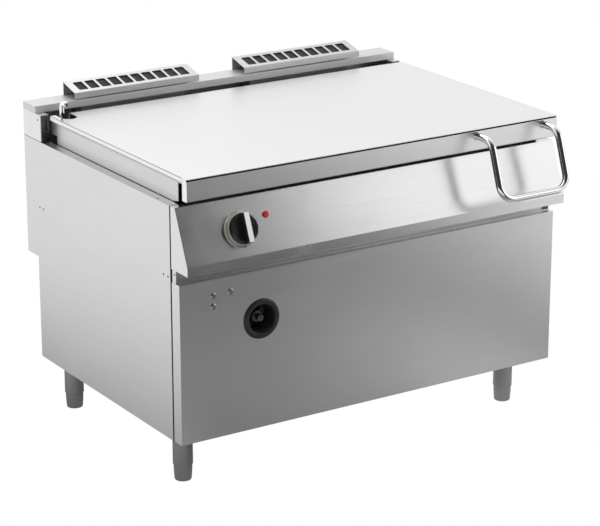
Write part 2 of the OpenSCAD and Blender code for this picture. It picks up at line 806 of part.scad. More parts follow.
module ignition_button() placed() color("firebrick") on_slope(button_cx, button_s)
    translate([0, 0, -sheet - 6]) rotate_extrude($fn = round_fn) polygon([[0, 0], [button_d / 2, 0],
        [button_d / 2, sheet + 6 + button_out - 2], [button_d / 2 - 2, sheet + 6 + button_out],
        [0, sheet + 6 + button_out]]);

// Gas pipes: from the inlet up to the valve, and from the valve down to the burners
gas_run_y = frame_front + 18;
inlet_reach = 50;
manifold_back = 22;
manifold_drop = 26;
manifold_side = 24;
outlet_x = gas_inlet_x + 32;
manifold_d = 30;
manifold_y = chamber_front + manifold_back;
manifold_z = chamber_z - manifold_drop;
manifold_x0 = outlet_x + manifold_side;
stub_len = 34;

module gas_pipe() placed() color("goldenrod") {
    rod_y(gas_run_y, frame_back - inlet_reach, gas_inlet_x, inlet_z, pipe_d);
    rod_z(inlet_z, valve_block_z, gas_inlet_x, gas_run_y, pipe_d);
    translate([gas_inlet_x, gas_run_y, inlet_z]) sphere(d = pipe_d + 2, $fn = round_fn);
}

module burner_feed() placed() color("goldenrod") {
    rod_z(manifold_z, valve_block_z, outlet_x, gas_run_y, pipe_d);
    rod_y(gas_run_y, manifold_y, outlet_x, manifold_z, pipe_d);
    rod_x(outlet_x, manifold_x0, manifold_y, manifold_z, pipe_d);
    for (y = [gas_run_y, manifold_y])
        translate([outlet_x, y, manifold_z]) cube(pipe_d + sheet, center = true);
}

module gas_inlet() placed() color("goldenrod") difference() {
    union() {
        rod_y(frame_back - inlet_reach, frame_back, gas_inlet_x, inlet_z, inlet_d + 6);
        rod_y(frame_back, low_back_d + stub_len, gas_inlet_x, inlet_z, stub_d);
    }
    rod_y(frame_back - 20, low_back_d + stub_len + over, gas_inlet_x, inlet_z, stub_d - 8);
}

module water_inlet() placed() color("goldenrod") difference() {
    union() {
        rod_y(frame_back - inlet_reach, frame_back, water_inlet_x, inlet_z, inlet_d + 4);
        rod_y(frame_back, low_back_d + stub_len, water_inlet_x, inlet_z, stub_d - 6);
    }
    rod_y(frame_back - 20, low_back_d + stub_len + over, water_inlet_x, inlet_z, stub_d - 13);
}

// Combustion chamber, open at the top, with burners across its floor
module combustion_chamber() placed() color("gray") difference() {
    box([-chamber_half, chamber_front, chamber_z], [chamber_half, chamber_back, chamber_top]);
    box([-chamber_half + sheet, chamber_front + sheet, chamber_z + sheet], [chamber_half - sheet,
        chamber_back - sheet, chamber_top + over]);
    both_ends() box([hood_cx - duct_w / 2 + sheet, chamber_back - sheet - over, chamber_z + chamber_h / 4
        + sheet], [hood_cx + duct_w / 2 - sheet, chamber_back + over, chamber_z + chamber_h / 4 + duct_h
        - sheet]);
    for (i = [0:burner_count - 1])
        rod_z(chamber_z - over, chamber_z + sheet + over, burner_x(i), manifold_y, riser_d + unit);
}

// Brackets that hang the chamber between the rails of the frame
bracket_t = 4;
bracket_w = 40;

module chamber_brackets() placed() color("dimgray") both_ends()
    for (y = [chamber_front + bracket_w, chamber_back - 3 * bracket_w]) {
        box([chamber_half, y, rail_top - frame_tube + bracket_t], [post_x, y + bracket_w, rail_top - frame_tube
            + 2 * bracket_t]);
        box([post_x - bracket_t, y, rail_top - frame_tube], [post_x, y + bracket_w, plate_z - arm_drop
            - 2 * bracket_t]);
        box([chamber_half, y, rail_top - 2 * frame_tube], [chamber_half + bracket_t, y + bracket_w, rail_top
            - frame_tube + 2 * bracket_t]);
    }

wool = 12;
riser_d = 16;

module chamber_insulation() placed() color("khaki") difference() {
    box([-chamber_half + sheet, chamber_front + sheet, chamber_z + sheet], [chamber_half - sheet,
        chamber_back - sheet, chamber_z + sheet + wool]);
    for (i = [0:burner_count - 1])
        rod_z(chamber_z - over, chamber_z + sheet + wool + over, burner_x(i), manifold_y, riser_d + unit);
}

function burner_x(i) = (i + 0.5 - burner_count / 2) * 2 * chamber_half / burner_count;

burner_z = chamber_z + chamber_h * 0.45;
port_count = 14;
port_d = 5;

burner_y0 = chamber_front + sheet + 6;
burner_y1 = chamber_back - 2 * flange;

module burner_tubes() placed() color("darkgray") for (i = [0:burner_count - 1]) difference() {
    union() {
        rod_y(burner_y0, burner_y1, burner_x(i), burner_z, burner_d);
        for (y = [burner_y0 + 4 * flange, burner_y1 - 4 * flange])
            box([burner_x(i) - flange / 2, y, chamber_z + sheet + wool], [burner_x(i) + flange / 2,
                y + flange / 2, burner_z]);
    }
    rod_y(burner_y0 + sheet, burner_y1 - sheet, burner_x(i), burner_z, burner_d - 2 * sheet);
    rod_z(burner_z - burner_d, burner_z, burner_x(i), manifold_y, riser_d);
    for (k = [1:port_count])
        rod_z(burner_z, burner_z + burner_d, burner_x(i), manifold_y + k * (burner_y1 - manifold_y)
            / (port_count + 1), port_d, small_fn);
}

module burner_manifold() placed() color("goldenrod") {
    rod_x(manifold_x0, burner_x(burner_count - 1) + 2 * flange, manifold_y, manifold_z, manifold_d);
    for (i = [0:burner_count - 1])
        rod_z(manifold_z, burner_z - sqrt(burner_d * burner_d - riser_d * riser_d) / 2, burner_x(i), manifold_y,
            riser_d);
}

// Crank spindle, worm shaft and worm
hub_d = 30;

module crank_spindle() placed() color("#2e2e2e") difference() {
    union() {
        rod_y(ring_h, worm_y - 2 * worm_shaft_r, crank_cx, crank_z, spindle_d);
        rod_y(cup_depth / 2, cup_depth - cup_wall - seat_gap, crank_cx, crank_z, hub_d);
    }
    rod_y(ring_h - over, ring_h + 2 * over, crank_cx, crank_z, spindle_d / 3, small_fn);
    box([crank_cx - spindle_d, ring_h - over, crank_z + spindle_d * 0.4], [crank_cx + spindle_d,
        cup_depth / 2, crank_z + spindle_d]);
}

module worm_shaft() placed() color("lightgray")
    rod_z(crank_z + 2 * worm_shaft_r, worm_z0 + worm_len + 2 * unit, crank_cx, worm_y, 2 * worm_shaft_r);

// Section of a single-start worm: angle on the section stands for travel along the axis
thread_half = lead / 4 - mesh_play;
worm_tip = worm_r + addendum;
worm_root = worm_r - dedendum * 0.9;

function half_at(r) = thread_half - (r - worm_r) * tan(pressure_a);
function turn_of(travel) = travel / lead * 360;
crest_a = turn_of(half_at(worm_tip));
foot_a = turn_of(half_at(worm_root));
ramp_n = 3;
arc_n = 14;

function ramp(side) = [for (k = [0:ramp_n])
    let (f = side < 0 ? k / ramp_n : 1 - k / ramp_n, r = worm_root + f * (worm_tip - worm_root),
        a = side * turn_of(half_at(r))) [r * cos(a), r * sin(a)]];
function arc(r, a0, a1, n) = [for (k = [1:n - 1]) let (a = a0 + (a1 - a0) * k / n) [r * cos(a), r * sin(a)]];

worm_turns = worm_len / lead;

module tilt_worm() placed() color("peru") translate([crank_cx, worm_y, worm_z0]) difference() {
    rotate([0, 0, -90 - 360 * worm_turns / 2]) linear_extrude(height = worm_len, twist = -360 * worm_turns,
        slices = ceil(worm_turns * 16)) polygon(concat(ramp(-1), arc(worm_tip, -crest_a, crest_a, 4),
        ramp(1), arc(worm_root, foot_a, 360 - foot_a, arc_n)));
    translate([0, 0, -over]) cylinder(h = worm_len + 2 * over, r = worm_shaft_r, $fn = round_fn);
}

// Toothed sector on the tilting shaft, with teeth set at the worm's lead angle
tooth_pitch_a = 360 / gear_teeth;
sector_hub_r = shaft_d / 2 + 12;
sector_low = side_setback - axis_y - unit;
first_gap = -floor((tilt_max + tooth_pitch_a * 1.2) / tooth_pitch_a);

module tooth_gap() {
    half_tip = lead / 4 + (tip_r - pitch_r) * tan(pressure_a);
    half_root = lead / 4 - (pitch_r - root_r) * tan(pressure_a);
    rotate([-lead_a, 0, 0]) linear_extrude(height = 3 * sector_t, center = true) polygon([[root_r - pitch_r,
        -half_root], [root_r - pitch_r, half_root], [2 * addendum, half_tip + addendum * tan(pressure_a)],
        [2 * addendum, -half_tip - addendum * tan(pressure_a)]]);
}

module sector_outline() {
    intersection() {
        circle(r = tip_r, $fn = 96);
        polygon([[0, 0], [tip_r * 2 * cos(tooth_pitch_a), tip_r * 2 * sin(tooth_pitch_a)],
            [tip_r * 2, 0], [tip_r * 2, -tip_r * 2], [sector_low, -tip_r * 2], [sector_low, -sector_hub_r]]);
    }
    circle(r = sector_hub_r, $fn = round_fn);
}

module tilt_sector() placed() color("#707478") translate([crank_cx - sector_t / 2, axis_y, axis_z])
    rotate([90, 0, 90]) difference() {
        linear_extrude(height = sector_t) sector_outline();
        for (k = [first_gap:1]) rotate([0, 0, k * tooth_pitch_a]) translate([pitch_r, 0, sector_t / 2])
            tooth_gap();
        translate([0, 0, -over]) cylinder(h = sector_t + 2 * over, d = shaft_d, $fn = round_fn);
        rotate([0, 0, -tilt_max / 2]) translate([(sector_hub_r + root_r) / 2, 0, -over])
            cylinder(h = sector_t + 2 * over, d = (root_r - sector_hub_r) / 2, $fn = round_fn);
    }

module tilt_shaft() placed() color("lightgray")
    rod_x(-bearing_x, bearing_x, axis_y, axis_z, shaft_d);

// Arms that carry the pan on the shaft
arm_x = bearing_x - bearing_t - move_gap - arm_t;
arm_up = 17;
arm_drop = 36;

module arm_outline() difference() {
    union() {
        circle(r = sector_hub_r, $fn = round_fn);
        polygon([[0, sector_hub_r * 0.6], [pan_front_r * 0.75, arm_up], [pan_front_r + plate_t, plate_z - axis_z],
            [casing_low_back - 2 * arm_drop - axis_y, plate_z - axis_z],
            [casing_low_back - 3 * arm_drop - axis_y, plate_z - axis_z - arm_drop],
            [pan_front_r, plate_z - axis_z - arm_drop], [0, -sector_hub_r * 0.9]]);
    }
    circle(d = shaft_d, $fn = round_fn);
}

module pan_arms() placed() color("dimgray") both_ends()
    translate([arm_x, axis_y, axis_z]) rotate([90, 0, 90]) linear_extrude(height = arm_t) arm_outline();

// Pan vessel: curved pouring front, upright back, rounded floor and a flat rim
pan_back = pan_back_d;
slope_step = 0.6;
corner_steps = 6;

module pan_side_shape(r_front, back, floor_z, round_r, top) {
    r_slope = r_front + slope_step;
    sy = axis_y + r_slope * sqrt(2) - (top - axis_z);
    difference() {
        union() {
            translate([axis_y, floor_z]) square([back - round_r - axis_y, top - floor_z]);
            translate([axis_y, floor_z + round_r]) square([back - axis_y, top - floor_z - round_r]);
            translate([back - round_r, floor_z + round_r]) circle(r = round_r, $fn = 96);
            polygon([[sy, top], [axis_y + r_front, top], [axis_y + r_front, axis_z]]);
        }
        translate([axis_y, axis_z]) circle(r = r_front, $fn = 128);
        polygon([[axis_y - over, floor_z - over], [axis_y + r_front - round_r, floor_z - over],
            [axis_y + r_slope * sin(45), axis_z + r_slope * sin(45)], [sy, top], [sy, top + over],
            [axis_y - over, top + over]]);
    }
}

module pan_front_shape(half, floor_z, round_r, top) {
    translate([-half + round_r, floor_z]) square([2 * (half - round_r), top - floor_z]);
    translate([-half, floor_z + round_r]) square([2 * half, top - floor_z - round_r]);
    for (x = [-1, 1]) translate([x * (half - round_r), floor_z + round_r])
        polygon([for (i = [0:corner_steps]) [x * round_r * sin(90 * i / corner_steps),
            -round_r * cos(90 * i / corner_steps)], [0, 0]]);
}

module pan_solid(grow, top) {
    intersection() {
        x_run(-pan_half - 2 * grow - over, pan_half + 2 * grow + over) pan_side_shape(pan_front_r + pan_wall
            - grow, pan_back + grow, pan_floor - grow, pan_round + grow, top);
        y_run(-lip_out, body_d) pan_front_shape(pan_half + grow, pan_floor - grow, pan_round + grow, top);
    }
}

module pan_vessel() placed() color("silver") difference() {
    union() {
        pan_solid(pan_wall, rim_z - rim_t / 2);
        box([-casing_x, lip_y0, rim_z - rim_t], [casing_x, casing_back - casing_t, rim_z]);
    }
    pan_solid(0, rim_z + over);
}

// Thick plate under the pan that spreads the heat
module pan_base_plate() placed() color("dimgray")
    box([-pan_half - pan_wall + pan_round, axis_y + pan_front_r + plate_t, plate_z],
        [pan_half + pan_wall - pan_round, pan_back - pan_round, plate_z + plate_t]);

// Casing sheets around the pan
module casing_outline() difference() {
    polygon([[casing_front, rim_z - rim_t], [casing_front, axis_z + sweep_r * 0.9],
        [axis_y + sweep_r * 0.9, plate_z], [casing_low_back, plate_z], [casing_low_back, casing_step_z],
        [casing_back, casing_step_z], [casing_back, rim_z - rim_t]]);
    translate([axis_y, axis_z]) circle(r = sweep_r, $fn = 128);
}

module side_casing() {
    x_run(casing_x - casing_t, casing_x) casing_outline();
    box([arm_x, casing_front + 2 * sweep_r, plate_z], [casing_x - casing_t, casing_low_back, plate_z + sheet]);
}

module left_pan_casing() placed() color("silver") mirror([1, 0, 0]) side_casing();

module right_pan_casing() placed() color("silver") side_casing();

module rear_pan_casing() placed() color("silver") {
    end = casing_x - casing_t;
    box([-end, casing_low_back - casing_t, plate_z + sheet], [end, casing_low_back, casing_step_z + casing_t]);
    box([-end, casing_low_back, casing_step_z], [end, casing_back - casing_t, casing_step_z + casing_t]);
    box([-end, casing_back - casing_t, casing_step_z], [end, casing_back, rim_z]);
}

// Spring hinge barrels on the pan's back edge and the pins through them
module hinge_barrels() placed() color("gray") both_ends() difference() {
    union() {
        rod_x(hinge_x, hinge_x + barrel_len, hinge_y, hinge_z, 2 * barrel_r);
        box([hinge_x, hinge_y - barrel_r, rim_z], [hinge_x + barrel_len, hinge_y + barrel_r, hinge_z]);
    }
    rod_x(hinge_x - over, hinge_x + barrel_len + over, hinge_y, hinge_z, 2 * (pin_r + slip));
}

module hinge_pins() placed() color("lightgray") both_ends()
    rod_x(hinge_x - arm_len, hinge_x + barrel_len + arm_len, hinge_y, hinge_z, 2 * pin_r);

arm_len = 16;

module lid_hinge_arms() placed() color("silver") both_ends() for (x = [hinge_x - arm_len, hinge_x + barrel_len
    + seat_gap]) difference() {
    union() {
        rod_x(x, x + arm_len - seat_gap, hinge_y, hinge_z, 2 * barrel_r);
        box([x, lid_back_d, hinge_z - barrel_r / 2], [x + arm_len - seat_gap, hinge_y, hinge_z + barrel_r]);
    }
    rod_x(x - over, x + arm_len + over, hinge_y, hinge_z, 2 * pin_r);
}

// Filling spout on the pan's left rear corner
spout_x = -half_w + 43;
spout_y = lid_back_d - 17;
spout_turn = 40;
spout_top = lid_top + spout_rise;
spout_wall = 1.5;

// A round elbow tops the upright, and a short arm turns forward over the notch
elbow_d = spout_d * 1.15;
arm_reach = 17;
arm_down = 28;
mouth_depth = 9;

module spout_arm() rotate([0, 0, -spout_turn]) rotate([0, 90 + arm_down, 0]) children();

module filling_spout() placed() color("whitesmoke") translate([spout_x, spout_y, 0]) difference() {
    bore = spout_d - 2 * spout_wall;
    elbow_z = spout_top - elbow_d / 2;
    union() {
        translate([0, 0, rim_z]) cylinder(h = elbow_z - rim_z, d = spout_d, $fn = round_fn);
        translate([0, 0, rim_z]) cylinder(h = 2 * pan_wall, d = spout_d + 2 * pan_wall, $fn = round_fn);
        translate([0, 0, elbow_z]) sphere(d = elbow_d, $fn = round_fn);
        translate([0, 0, elbow_z]) spout_arm() cylinder(h = arm_reach, d = spout_d, $fn = round_fn);
    }
    translate([0, 0, rim_z - over]) cylinder(h = elbow_z - rim_z - spout_d / 2, d = bore, $fn = round_fn);
    translate([0, 0, elbow_z]) spout_arm() translate([0, 0, arm_reach - mouth_depth])
        cylinder(h = mouth_depth + over, d = bore, $fn = round_fn);
}

// Lid: folded sheet with a boxed front, a groove under its front edge and a rear notch
notch_x = -half_w + 52;
groove_h = 4;
groove_d = 3;
apron_round = 6;

module notch_cut(z0, z1, grow) translate([notch_x, 0, z0]) linear_extrude(height = z1 - z0) {
    translate([-notch_w / 2 - grow, lid_back_d - notch_len + notch_w / 2]) square([notch_w + 2 * grow,
        notch_len]);
    translate([0, lid_back_d - notch_len + notch_w / 2]) circle(d = notch_w + 2 * grow, $fn = round_fn);
}

module lid_box() difference() {
    box([-lid_half, -lid_front, lid_bottom + edge_gap], [lid_half, lid_back_d, lid_top]);
    box([-lid_half + lid_sheet, -lid_front + apron_t, lid_bottom - over], [lid_half - lid_sheet,
        lid_back_d - lid_sheet, lid_top - lid_sheet]);
}

module apron_shape() {
    y0 = -lid_front;
    y1 = -lid_front + apron_t;
    r = apron_round;
    translate([y0, apron_bottom + r]) square([apron_t, apron_h - r]);
    translate([y0 + r, apron_bottom]) square([apron_t - r, apron_h - r]);
    translate([y0 + r, apron_bottom + r]) circle(r = r, $fn = round_fn);
}

module apron_hollow() {
    y0 = -lid_front + lid_sheet;
    translate([y0, apron_bottom + apron_round]) square([apron_t - 2 * lid_sheet, apron_h - apron_round
        - 2 * lid_sheet - groove_h]);
}

module lid_shell() placed() color("gainsboro") difference() {
    union() {
        lid_box();
        x_run(-lid_half, lid_half) apron_shape();
    }
    x_run(-lid_half + lid_sheet, lid_half - lid_sheet) apron_hollow();
    both_ends() rod_z(apron_bottom - over, apron_bottom + 2 * apron_round, lid_half - 2 * apron_t, -lid_front
        + apron_t / 2, side_hole_d, small_fn);
    box([-lid_half - over, -lid_front - over, lid_top - lid_sheet - groove_h], [lid_half + over,
        -lid_front + groove_d - lid_sheet / 2, lid_top - lid_sheet]);
    notch_cut(lid_bottom - over, lid_top + over, 0);
}

// Liner under the lid, a shallow tray that faces the food
liner_t = 1.5;
liner_gap = 12;

module lid_liner() placed() color("silver") difference() {
    box([-lid_half + liner_in, -lid_front + apron_t, lid_bottom], [lid_half - liner_in,
        lid_back_d - lid_sheet, lid_top - lid_sheet]);
    box([-lid_half + liner_in + liner_t, -lid_front + apron_t + liner_t, lid_bottom + liner_t], [lid_half
        - liner_in - liner_t, lid_back_d - lid_sheet - liner_t, lid_top - lid_sheet + over]);
    notch_cut(lid_bottom - over, lid_top + over, unit);
}

// Bent tube handle and its two ferrules
handle_x1 = half_w - handle_inset;
handle_x0 = handle_x1 - handle_w;
handle_z = lid_top - 21;
turn_y = -lid_front - handle_out;
bend_a = 90 - handle_tilt;
bend_t = handle_bend * tan(bend_a / 2);
leg_len = handle_drop / cos(handle_tilt);

module handle_leg(x) {
    rod_y(turn_y + bend_t, -lid_front, x, handle_z, tube_d);
    translate([x, turn_y + bend_t, handle_z - handle_bend]) rotate([90, 0, 90]) rotate([0, 0, 90])
        rotate_extrude(angle = bend_a, $fn = 64) translate([handle_bend, 0]) circle(d = tube_d, $fn = small_fn);
}

module handle_loop() translate([0, turn_y - handle_drop * tan(handle_tilt), handle_z - handle_drop])
    rotate([90 - handle_tilt, 0, 0]) {
        for (x = [handle_x0, handle_x1]) translate([x, handle_bend, 0]) rotate([-90, 0, 0])
            cylinder(h = leg_len - bend_t - handle_bend, d = tube_d, $fn = small_fn);
        translate([handle_x0 + handle_bend, 0, 0]) rotate([0, 90, 0])
            cylinder(h = handle_w - 2 * handle_bend, d = tube_d, $fn = small_fn);
        translate([handle_x0 + handle_bend, handle_bend, 0]) rotate([0, 0, 180])
            rotate_extrude(angle = 90, $fn = 64) translate([handle_bend, 0]) circle(d = tube_d, $fn = small_fn);
        translate([handle_x1 - handle_bend, handle_bend, 0]) rotate([0, 0, 270])
            rotate_extrude(angle = 90, $fn = 64) translate([handle_bend, 0]) circle(d = tube_d, $fn = small_fn);
    }

module lid_handle() placed() color("lightgray") {
    handle_leg(handle_x0);
    handle_leg(handle_x1);
    handle_loop();
}

ferrule_t = 3;

module handle_ferrules() placed() color("lightgray") for (x = [handle_x0, handle_x1]) difference() {
    rod_y(-lid_front - ferrule_t, -lid_front, x, handle_z, tube_d + 6);
    rod_y(-lid_front - ferrule_t - over, -lid_front + over, x, handle_z, tube_d);
}

base_frame();
panel_spacers();
left_side_panel();
right_side_panel();
front_panel();
recess_rail();
control_panel();
lower_back_panel();
upper_back_panel();
bottom_panel();
rear_beam();
rear_columns();
hinge_guide_plates();
left_flue_hood();
right_flue_hood();
flue_ducts();
leg_tubes();
front_left_foot();
front_right_foot();
rear_left_foot();
rear_right_foot();
shaft_bearings();
front_panel_pips();
crank_recess();
gearbox();
gearbox_bracket();
knob_bezel();
gas_valve();
gas_pipe();
burner_feed();
gas_inlet();
water_inlet();
igniter_body();
combustion_chamber();
chamber_insulation();
chamber_brackets();
burner_tubes();
burner_manifold();
control_knob();
knob_strip();
ignition_button();
crank_spindle();
worm_shaft();
tilt_worm();
pan_vessel();
pan_base_plate();
left_pan_casing();
right_pan_casing();
rear_pan_casing();
pan_arms();
tilt_shaft();
tilt_sector();
hinge_barrels();
filling_spout();
lid_shell();
lid_liner();
lid_handle();
handle_ferrules();
lid_hinge_arms();
hinge_pins();
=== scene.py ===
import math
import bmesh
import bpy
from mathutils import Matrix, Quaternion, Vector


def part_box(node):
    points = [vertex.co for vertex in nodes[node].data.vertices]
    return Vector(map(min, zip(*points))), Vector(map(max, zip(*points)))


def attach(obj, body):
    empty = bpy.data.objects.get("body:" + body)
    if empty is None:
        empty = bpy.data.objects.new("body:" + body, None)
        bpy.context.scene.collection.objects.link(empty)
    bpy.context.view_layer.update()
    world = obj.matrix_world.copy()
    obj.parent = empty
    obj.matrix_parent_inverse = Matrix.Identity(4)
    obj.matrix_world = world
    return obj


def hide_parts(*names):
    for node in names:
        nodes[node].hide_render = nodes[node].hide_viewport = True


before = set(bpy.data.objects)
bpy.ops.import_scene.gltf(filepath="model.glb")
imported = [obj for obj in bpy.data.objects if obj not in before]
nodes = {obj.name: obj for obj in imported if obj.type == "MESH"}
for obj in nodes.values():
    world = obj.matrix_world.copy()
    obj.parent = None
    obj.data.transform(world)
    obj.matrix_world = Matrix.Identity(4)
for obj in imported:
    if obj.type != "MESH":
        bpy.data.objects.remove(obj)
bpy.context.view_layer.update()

# %% [markdown]
# # A tilting bratt pan in Blender
# The lines above brought in the CAD model. Every part of the machine is now an
# object whose vertices already sit in metres, in the same place as in the CAD,
# and each one is parented to an empty that stands for the body it moves with.
# This lesson dresses that model. It gives each part a metal, a plastic or a fibre
# made from nodes, softens the edges, swaps a few plain CAD shapes for finer ones,
# and then sets up a soft studio round it.

# %% [markdown]
# ## Measurements taken from the model
# Reading sizes from it keeps the detailed pieces in step with the CAD. The
# control panel leans back, so its knob and button get a frame of their own: X
# runs to the right, Y runs up the slope and Z stands straight out of the panel.

# %% Frame of the sloping control panel
SLOPE = math.radians(22.768685)  # how far the panel leans back in the CAD
UP_SLOPE = Vector((0, math.sin(SLOPE), math.cos(SLOPE)))
OUT_OF_SLOPE = Vector((0, -math.cos(SLOPE), math.sin(SLOPE)))


def middle(node):
    """Centre of a CAD node's box."""
    low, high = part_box(node)
    return (low + high) / 2


def frame_at(origin, up, out):
    """Placing matrix whose Y is up and whose Z is out."""
    side = up.cross(out)
    turn = Matrix((side, up, out)).transposed().to_4x4()
    return Matrix.Translation(origin) @ turn


BEZEL_H = 0.003
knob_base = middle("knob_bezel") - OUT_OF_SLOPE * BEZEL_H / 2
knob_frame = frame_at(knob_base, UP_SLOPE, OUT_OF_SLOPE)
FACE_OUT, FACE_BACK = Vector((0, -1, 0)), Vector((0, 1, 0))
UPWARD = Vector((0, 0, 1))
print("knob sits at", tuple(round(v, 4) for v in knob_base))

# %% [markdown]
# ## Small tools for making meshes
# A few helpers make every shape that is added to the CAD model. These two put a
# mesh into the scene. `mesh_object` also merges doubled corners, turns all faces
# outward and shades the mesh smooth up to an angle.

# %% New objects
TURNS = 72  # sides of a full turn
MERGE = 1e-6


def new_object(name, mesh):
    piece = bpy.data.objects.new(name, mesh)
    bpy.context.scene.collection.objects.link(piece)
    return piece


def mesh_object(name, points, faces, place=None, smooth_angle=35):
    """Builds a clean mesh and moves its points by the placing matrix."""
    mesh = bpy.data.meshes.new(name)
    mesh.from_pydata([tuple(p) for p in points], [], faces)
    if place is not None:
        mesh.transform(place)
    builder = bmesh.new()
    builder.from_mesh(mesh)
    bmesh.ops.remove_doubles(builder, verts=builder.verts, dist=MERGE)
    bmesh.ops.recalc_face_normals(builder, faces=builder.faces)
    builder.to_mesh(mesh)
    builder.free()
    mesh.shade_smooth()
    mesh.set_sharp_from_angle(angle=math.radians(smooth_angle))
    return new_object(name, mesh)


print("object helpers ready")

# %% [markdown]
# `lathe` spins an outline round an axis, like a part on a lathe. `extrude` pushes
# a flat outline along X, like a folded sheet, and `block` makes a box between two
# corners.

# %% Turned and extruded shapes
def ring_faces(rows, turns):
    """Quads that join each ring of corners to the next one."""
    faces = []
    for row in range(rows - 1):
        a, b = row * turns, (row + 1) * turns
        faces += [(a + k, a + (k + 1) % turns, b + (k + 1) % turns, b + k) for k in range(turns)]
    return faces


def lathe(name, outline, place, turns=TURNS):
    """Spins (radius, height) pairs round the local Z axis."""
    points = []
    for radius, height in outline:
        for k in range(turns):
            a = 2 * math.pi * k / turns
            points.append((radius * math.cos(a), radius * math.sin(a), height))
    return mesh_object(name, points, ring_faces(len(outline), turns), place)


def extrude(name, outline, x0, x1, place=None):
    """Pushes a closed outline of (y, z) pairs from x0 to x1."""
    count = len(outline)
    points = [(x, y, z) for x in (x0, x1) for y, z in outline]
    faces = [(k, (k + 1) % count, count + (k + 1) % count, count + k) for k in range(count)]
    faces += [tuple(range(count)), tuple(range(2 * count - 1, count - 1, -1))]
    return mesh_object(name, points, faces, place)


def block(name, low, high, place=None):
    outline = [(low[1], low[2]), (high[1], low[2]), (high[1], high[2]), (low[1], high[2])]
    return extrude(name, outline, low[0], high[0], place)


print("shape helpers ready")

# %% [markdown]
# Bent sheet and bent tube need arcs. `arc` gives the points of one,
# `rounded_path` swaps the corners of a path for arcs, and `pipe` sweeps a circle
# along such a path without twisting it.

# %% Arcs, paths and pipes
def arc(cy, cz, radius, start, end, steps=8):
    """Points on an arc in degrees, measured from +Y towards +Z."""
    turn = [math.radians(start + (end - start) * k / steps) for k in range(steps + 1)]
    return [(cy + radius * math.cos(a), cz + radius * math.sin(a)) for a in turn]


def rounded_path(corners, radii, steps=12):
    """A polyline whose inner corners are swapped for arcs of the given radii."""
    path = [corners[0]]
    for before, corner, after, radius in zip(corners, corners[1:], corners[2:], radii):
        a, b = (before - corner).normalized(), (after - corner).normalized()
        half = a.angle(b) / 2
        reach = radius / math.tan(half)
        centre = corner + (a + b).normalized() * radius / math.sin(half)
        first, last = corner + a * reach - centre, corner + b * reach - centre
        axis, sweep = first.cross(last), first.angle(last)
        for k in range(steps + 1):
            path.append(centre + Quaternion(axis, sweep * k / steps) @ first)
    path.append(corners[-1])
    return path


def pipe(name, path, radius, turns=28):
    """Sweeps a circle along a path and closes both ends."""
    normal = None
    points = []
    for i, point in enumerate(path):
        ahead = path[min(i + 1, len(path) - 1)] - path[max(i - 1, 0)]
        along = ahead.normalized()
        if normal is None:
            seed = Vector((1, 0, 0)) if abs(along.x) < 0.9 else UPWARD
            normal = (seed - along * seed.dot(along)).normalized()
        normal = (normal - along * normal.dot(along)).normalized()
        side = along.cross(normal)
        for k in range(turns):
            a = 2 * math.pi * k / turns
            points.append(point + (normal * math.cos(a) + side * math.sin(a)) * radius)
    last = (len(path) - 1) * turns
    faces = ring_faces(len(path), turns)
    faces += [tuple(range(turns)), tuple(range(last + turns - 1, last - 1, -1))]
    return mesh_object(name, points, faces)


print("path helpers ready")

# %% [markdown]
# `join` makes one object out of several, `cut` takes one shape out of another,
# `paint` gives a piece its materials, and `soften` rounds sharp edges with
# modifiers that leave the mesh alone.

# %% Joining, cutting, painting and softening
def join(name, pieces):
    bpy.ops.object.select_all(action="DESELECT")
    for piece in pieces:
        piece.select_set(True)
    bpy.context.view_layer.objects.active = pieces[0]
    bpy.ops.object.join()
    pieces[0].name = name
    return pieces[0]


def cut(piece, cutter):
    """Takes the cutter's shape out of a piece and removes the cutter."""
    boolean = piece.modifiers.new("Cut", "BOOLEAN")
    boolean.object = cutter
    boolean.solver = "EXACT"
    bpy.context.view_layer.objects.active = piece
    bpy.ops.object.modifier_apply(modifier=boolean.name)
    bpy.data.objects.remove(cutter)


def paint(piece, *materials):
    for material in materials:
        piece.data.materials.append(material)


def soften(piece, width, segments=3, angle=30):
    """Bevels the edges that are sharper than the angle."""
    bevel = piece.modifiers.new("Soft edges", "BEVEL")
    bevel.width = width
    bevel.segments = segments
    bevel.limit_method = "ANGLE"
    bevel.angle_limit = math.radians(angle)
    bevel.harden_normals = True
    flats = piece.modifiers.new("Flats stay flat", "WEIGHTED_NORMAL")
    flats.keep_sharp = True


print("edge helpers ready")

# %% [markdown]
# ## Node helpers
# `fill` gives values to a node's sockets. Another node, or one of its outputs,
# becomes a link, and anything else is set as a plain value. `add` makes a shader
# node and fills it, and `shared_group` opens a node group.

# %% Nodes and groups
def fill(tree, node, sockets):
    """Links or sets the sockets of a node."""
    for key, value in sockets.items():
        if isinstance(value, bpy.types.Node):
            value = value.outputs[0]
        if isinstance(value, bpy.types.NodeSocket):
            tree.links.new(value, node.inputs[key])
        else:
            node.inputs[key].default_value = value


def add(tree, kind, sockets=None, **settings):
    node = tree.nodes.new("ShaderNode" + kind)
    for key, value in settings.items():
        setattr(node, key, value)
    fill(tree, node, sockets or {})
    return node


def shared_group(name, inputs, outputs):
    """Makes a node group and returns it with its input node and its output node."""
    tree = bpy.data.node_groups.new(name, "ShaderNodeTree")
    for label, kind, value in inputs:
        socket = tree.interface.new_socket(label, in_out="INPUT", socket_type="NodeSocket" + kind)
        socket.default_value = value
    for label, kind in outputs:
        tree.interface.new_socket(label, in_out="OUTPUT", socket_type="NodeSocket" + kind)
    return tree, tree.nodes.new("NodeGroupInput"), tree.nodes.new("NodeGroupOutput")


print("node helpers ready")

# %% [markdown]
# `calc` does sums and comparisons, on numbers or on vectors. `remap` moves one
# range of numbers to another and cuts off what lies outside.

# %% Sums and ranges
def calc(tree, operation, *values, kind="Math"):
    return add(tree, kind, dict(enumerate(values)), operation=operation)


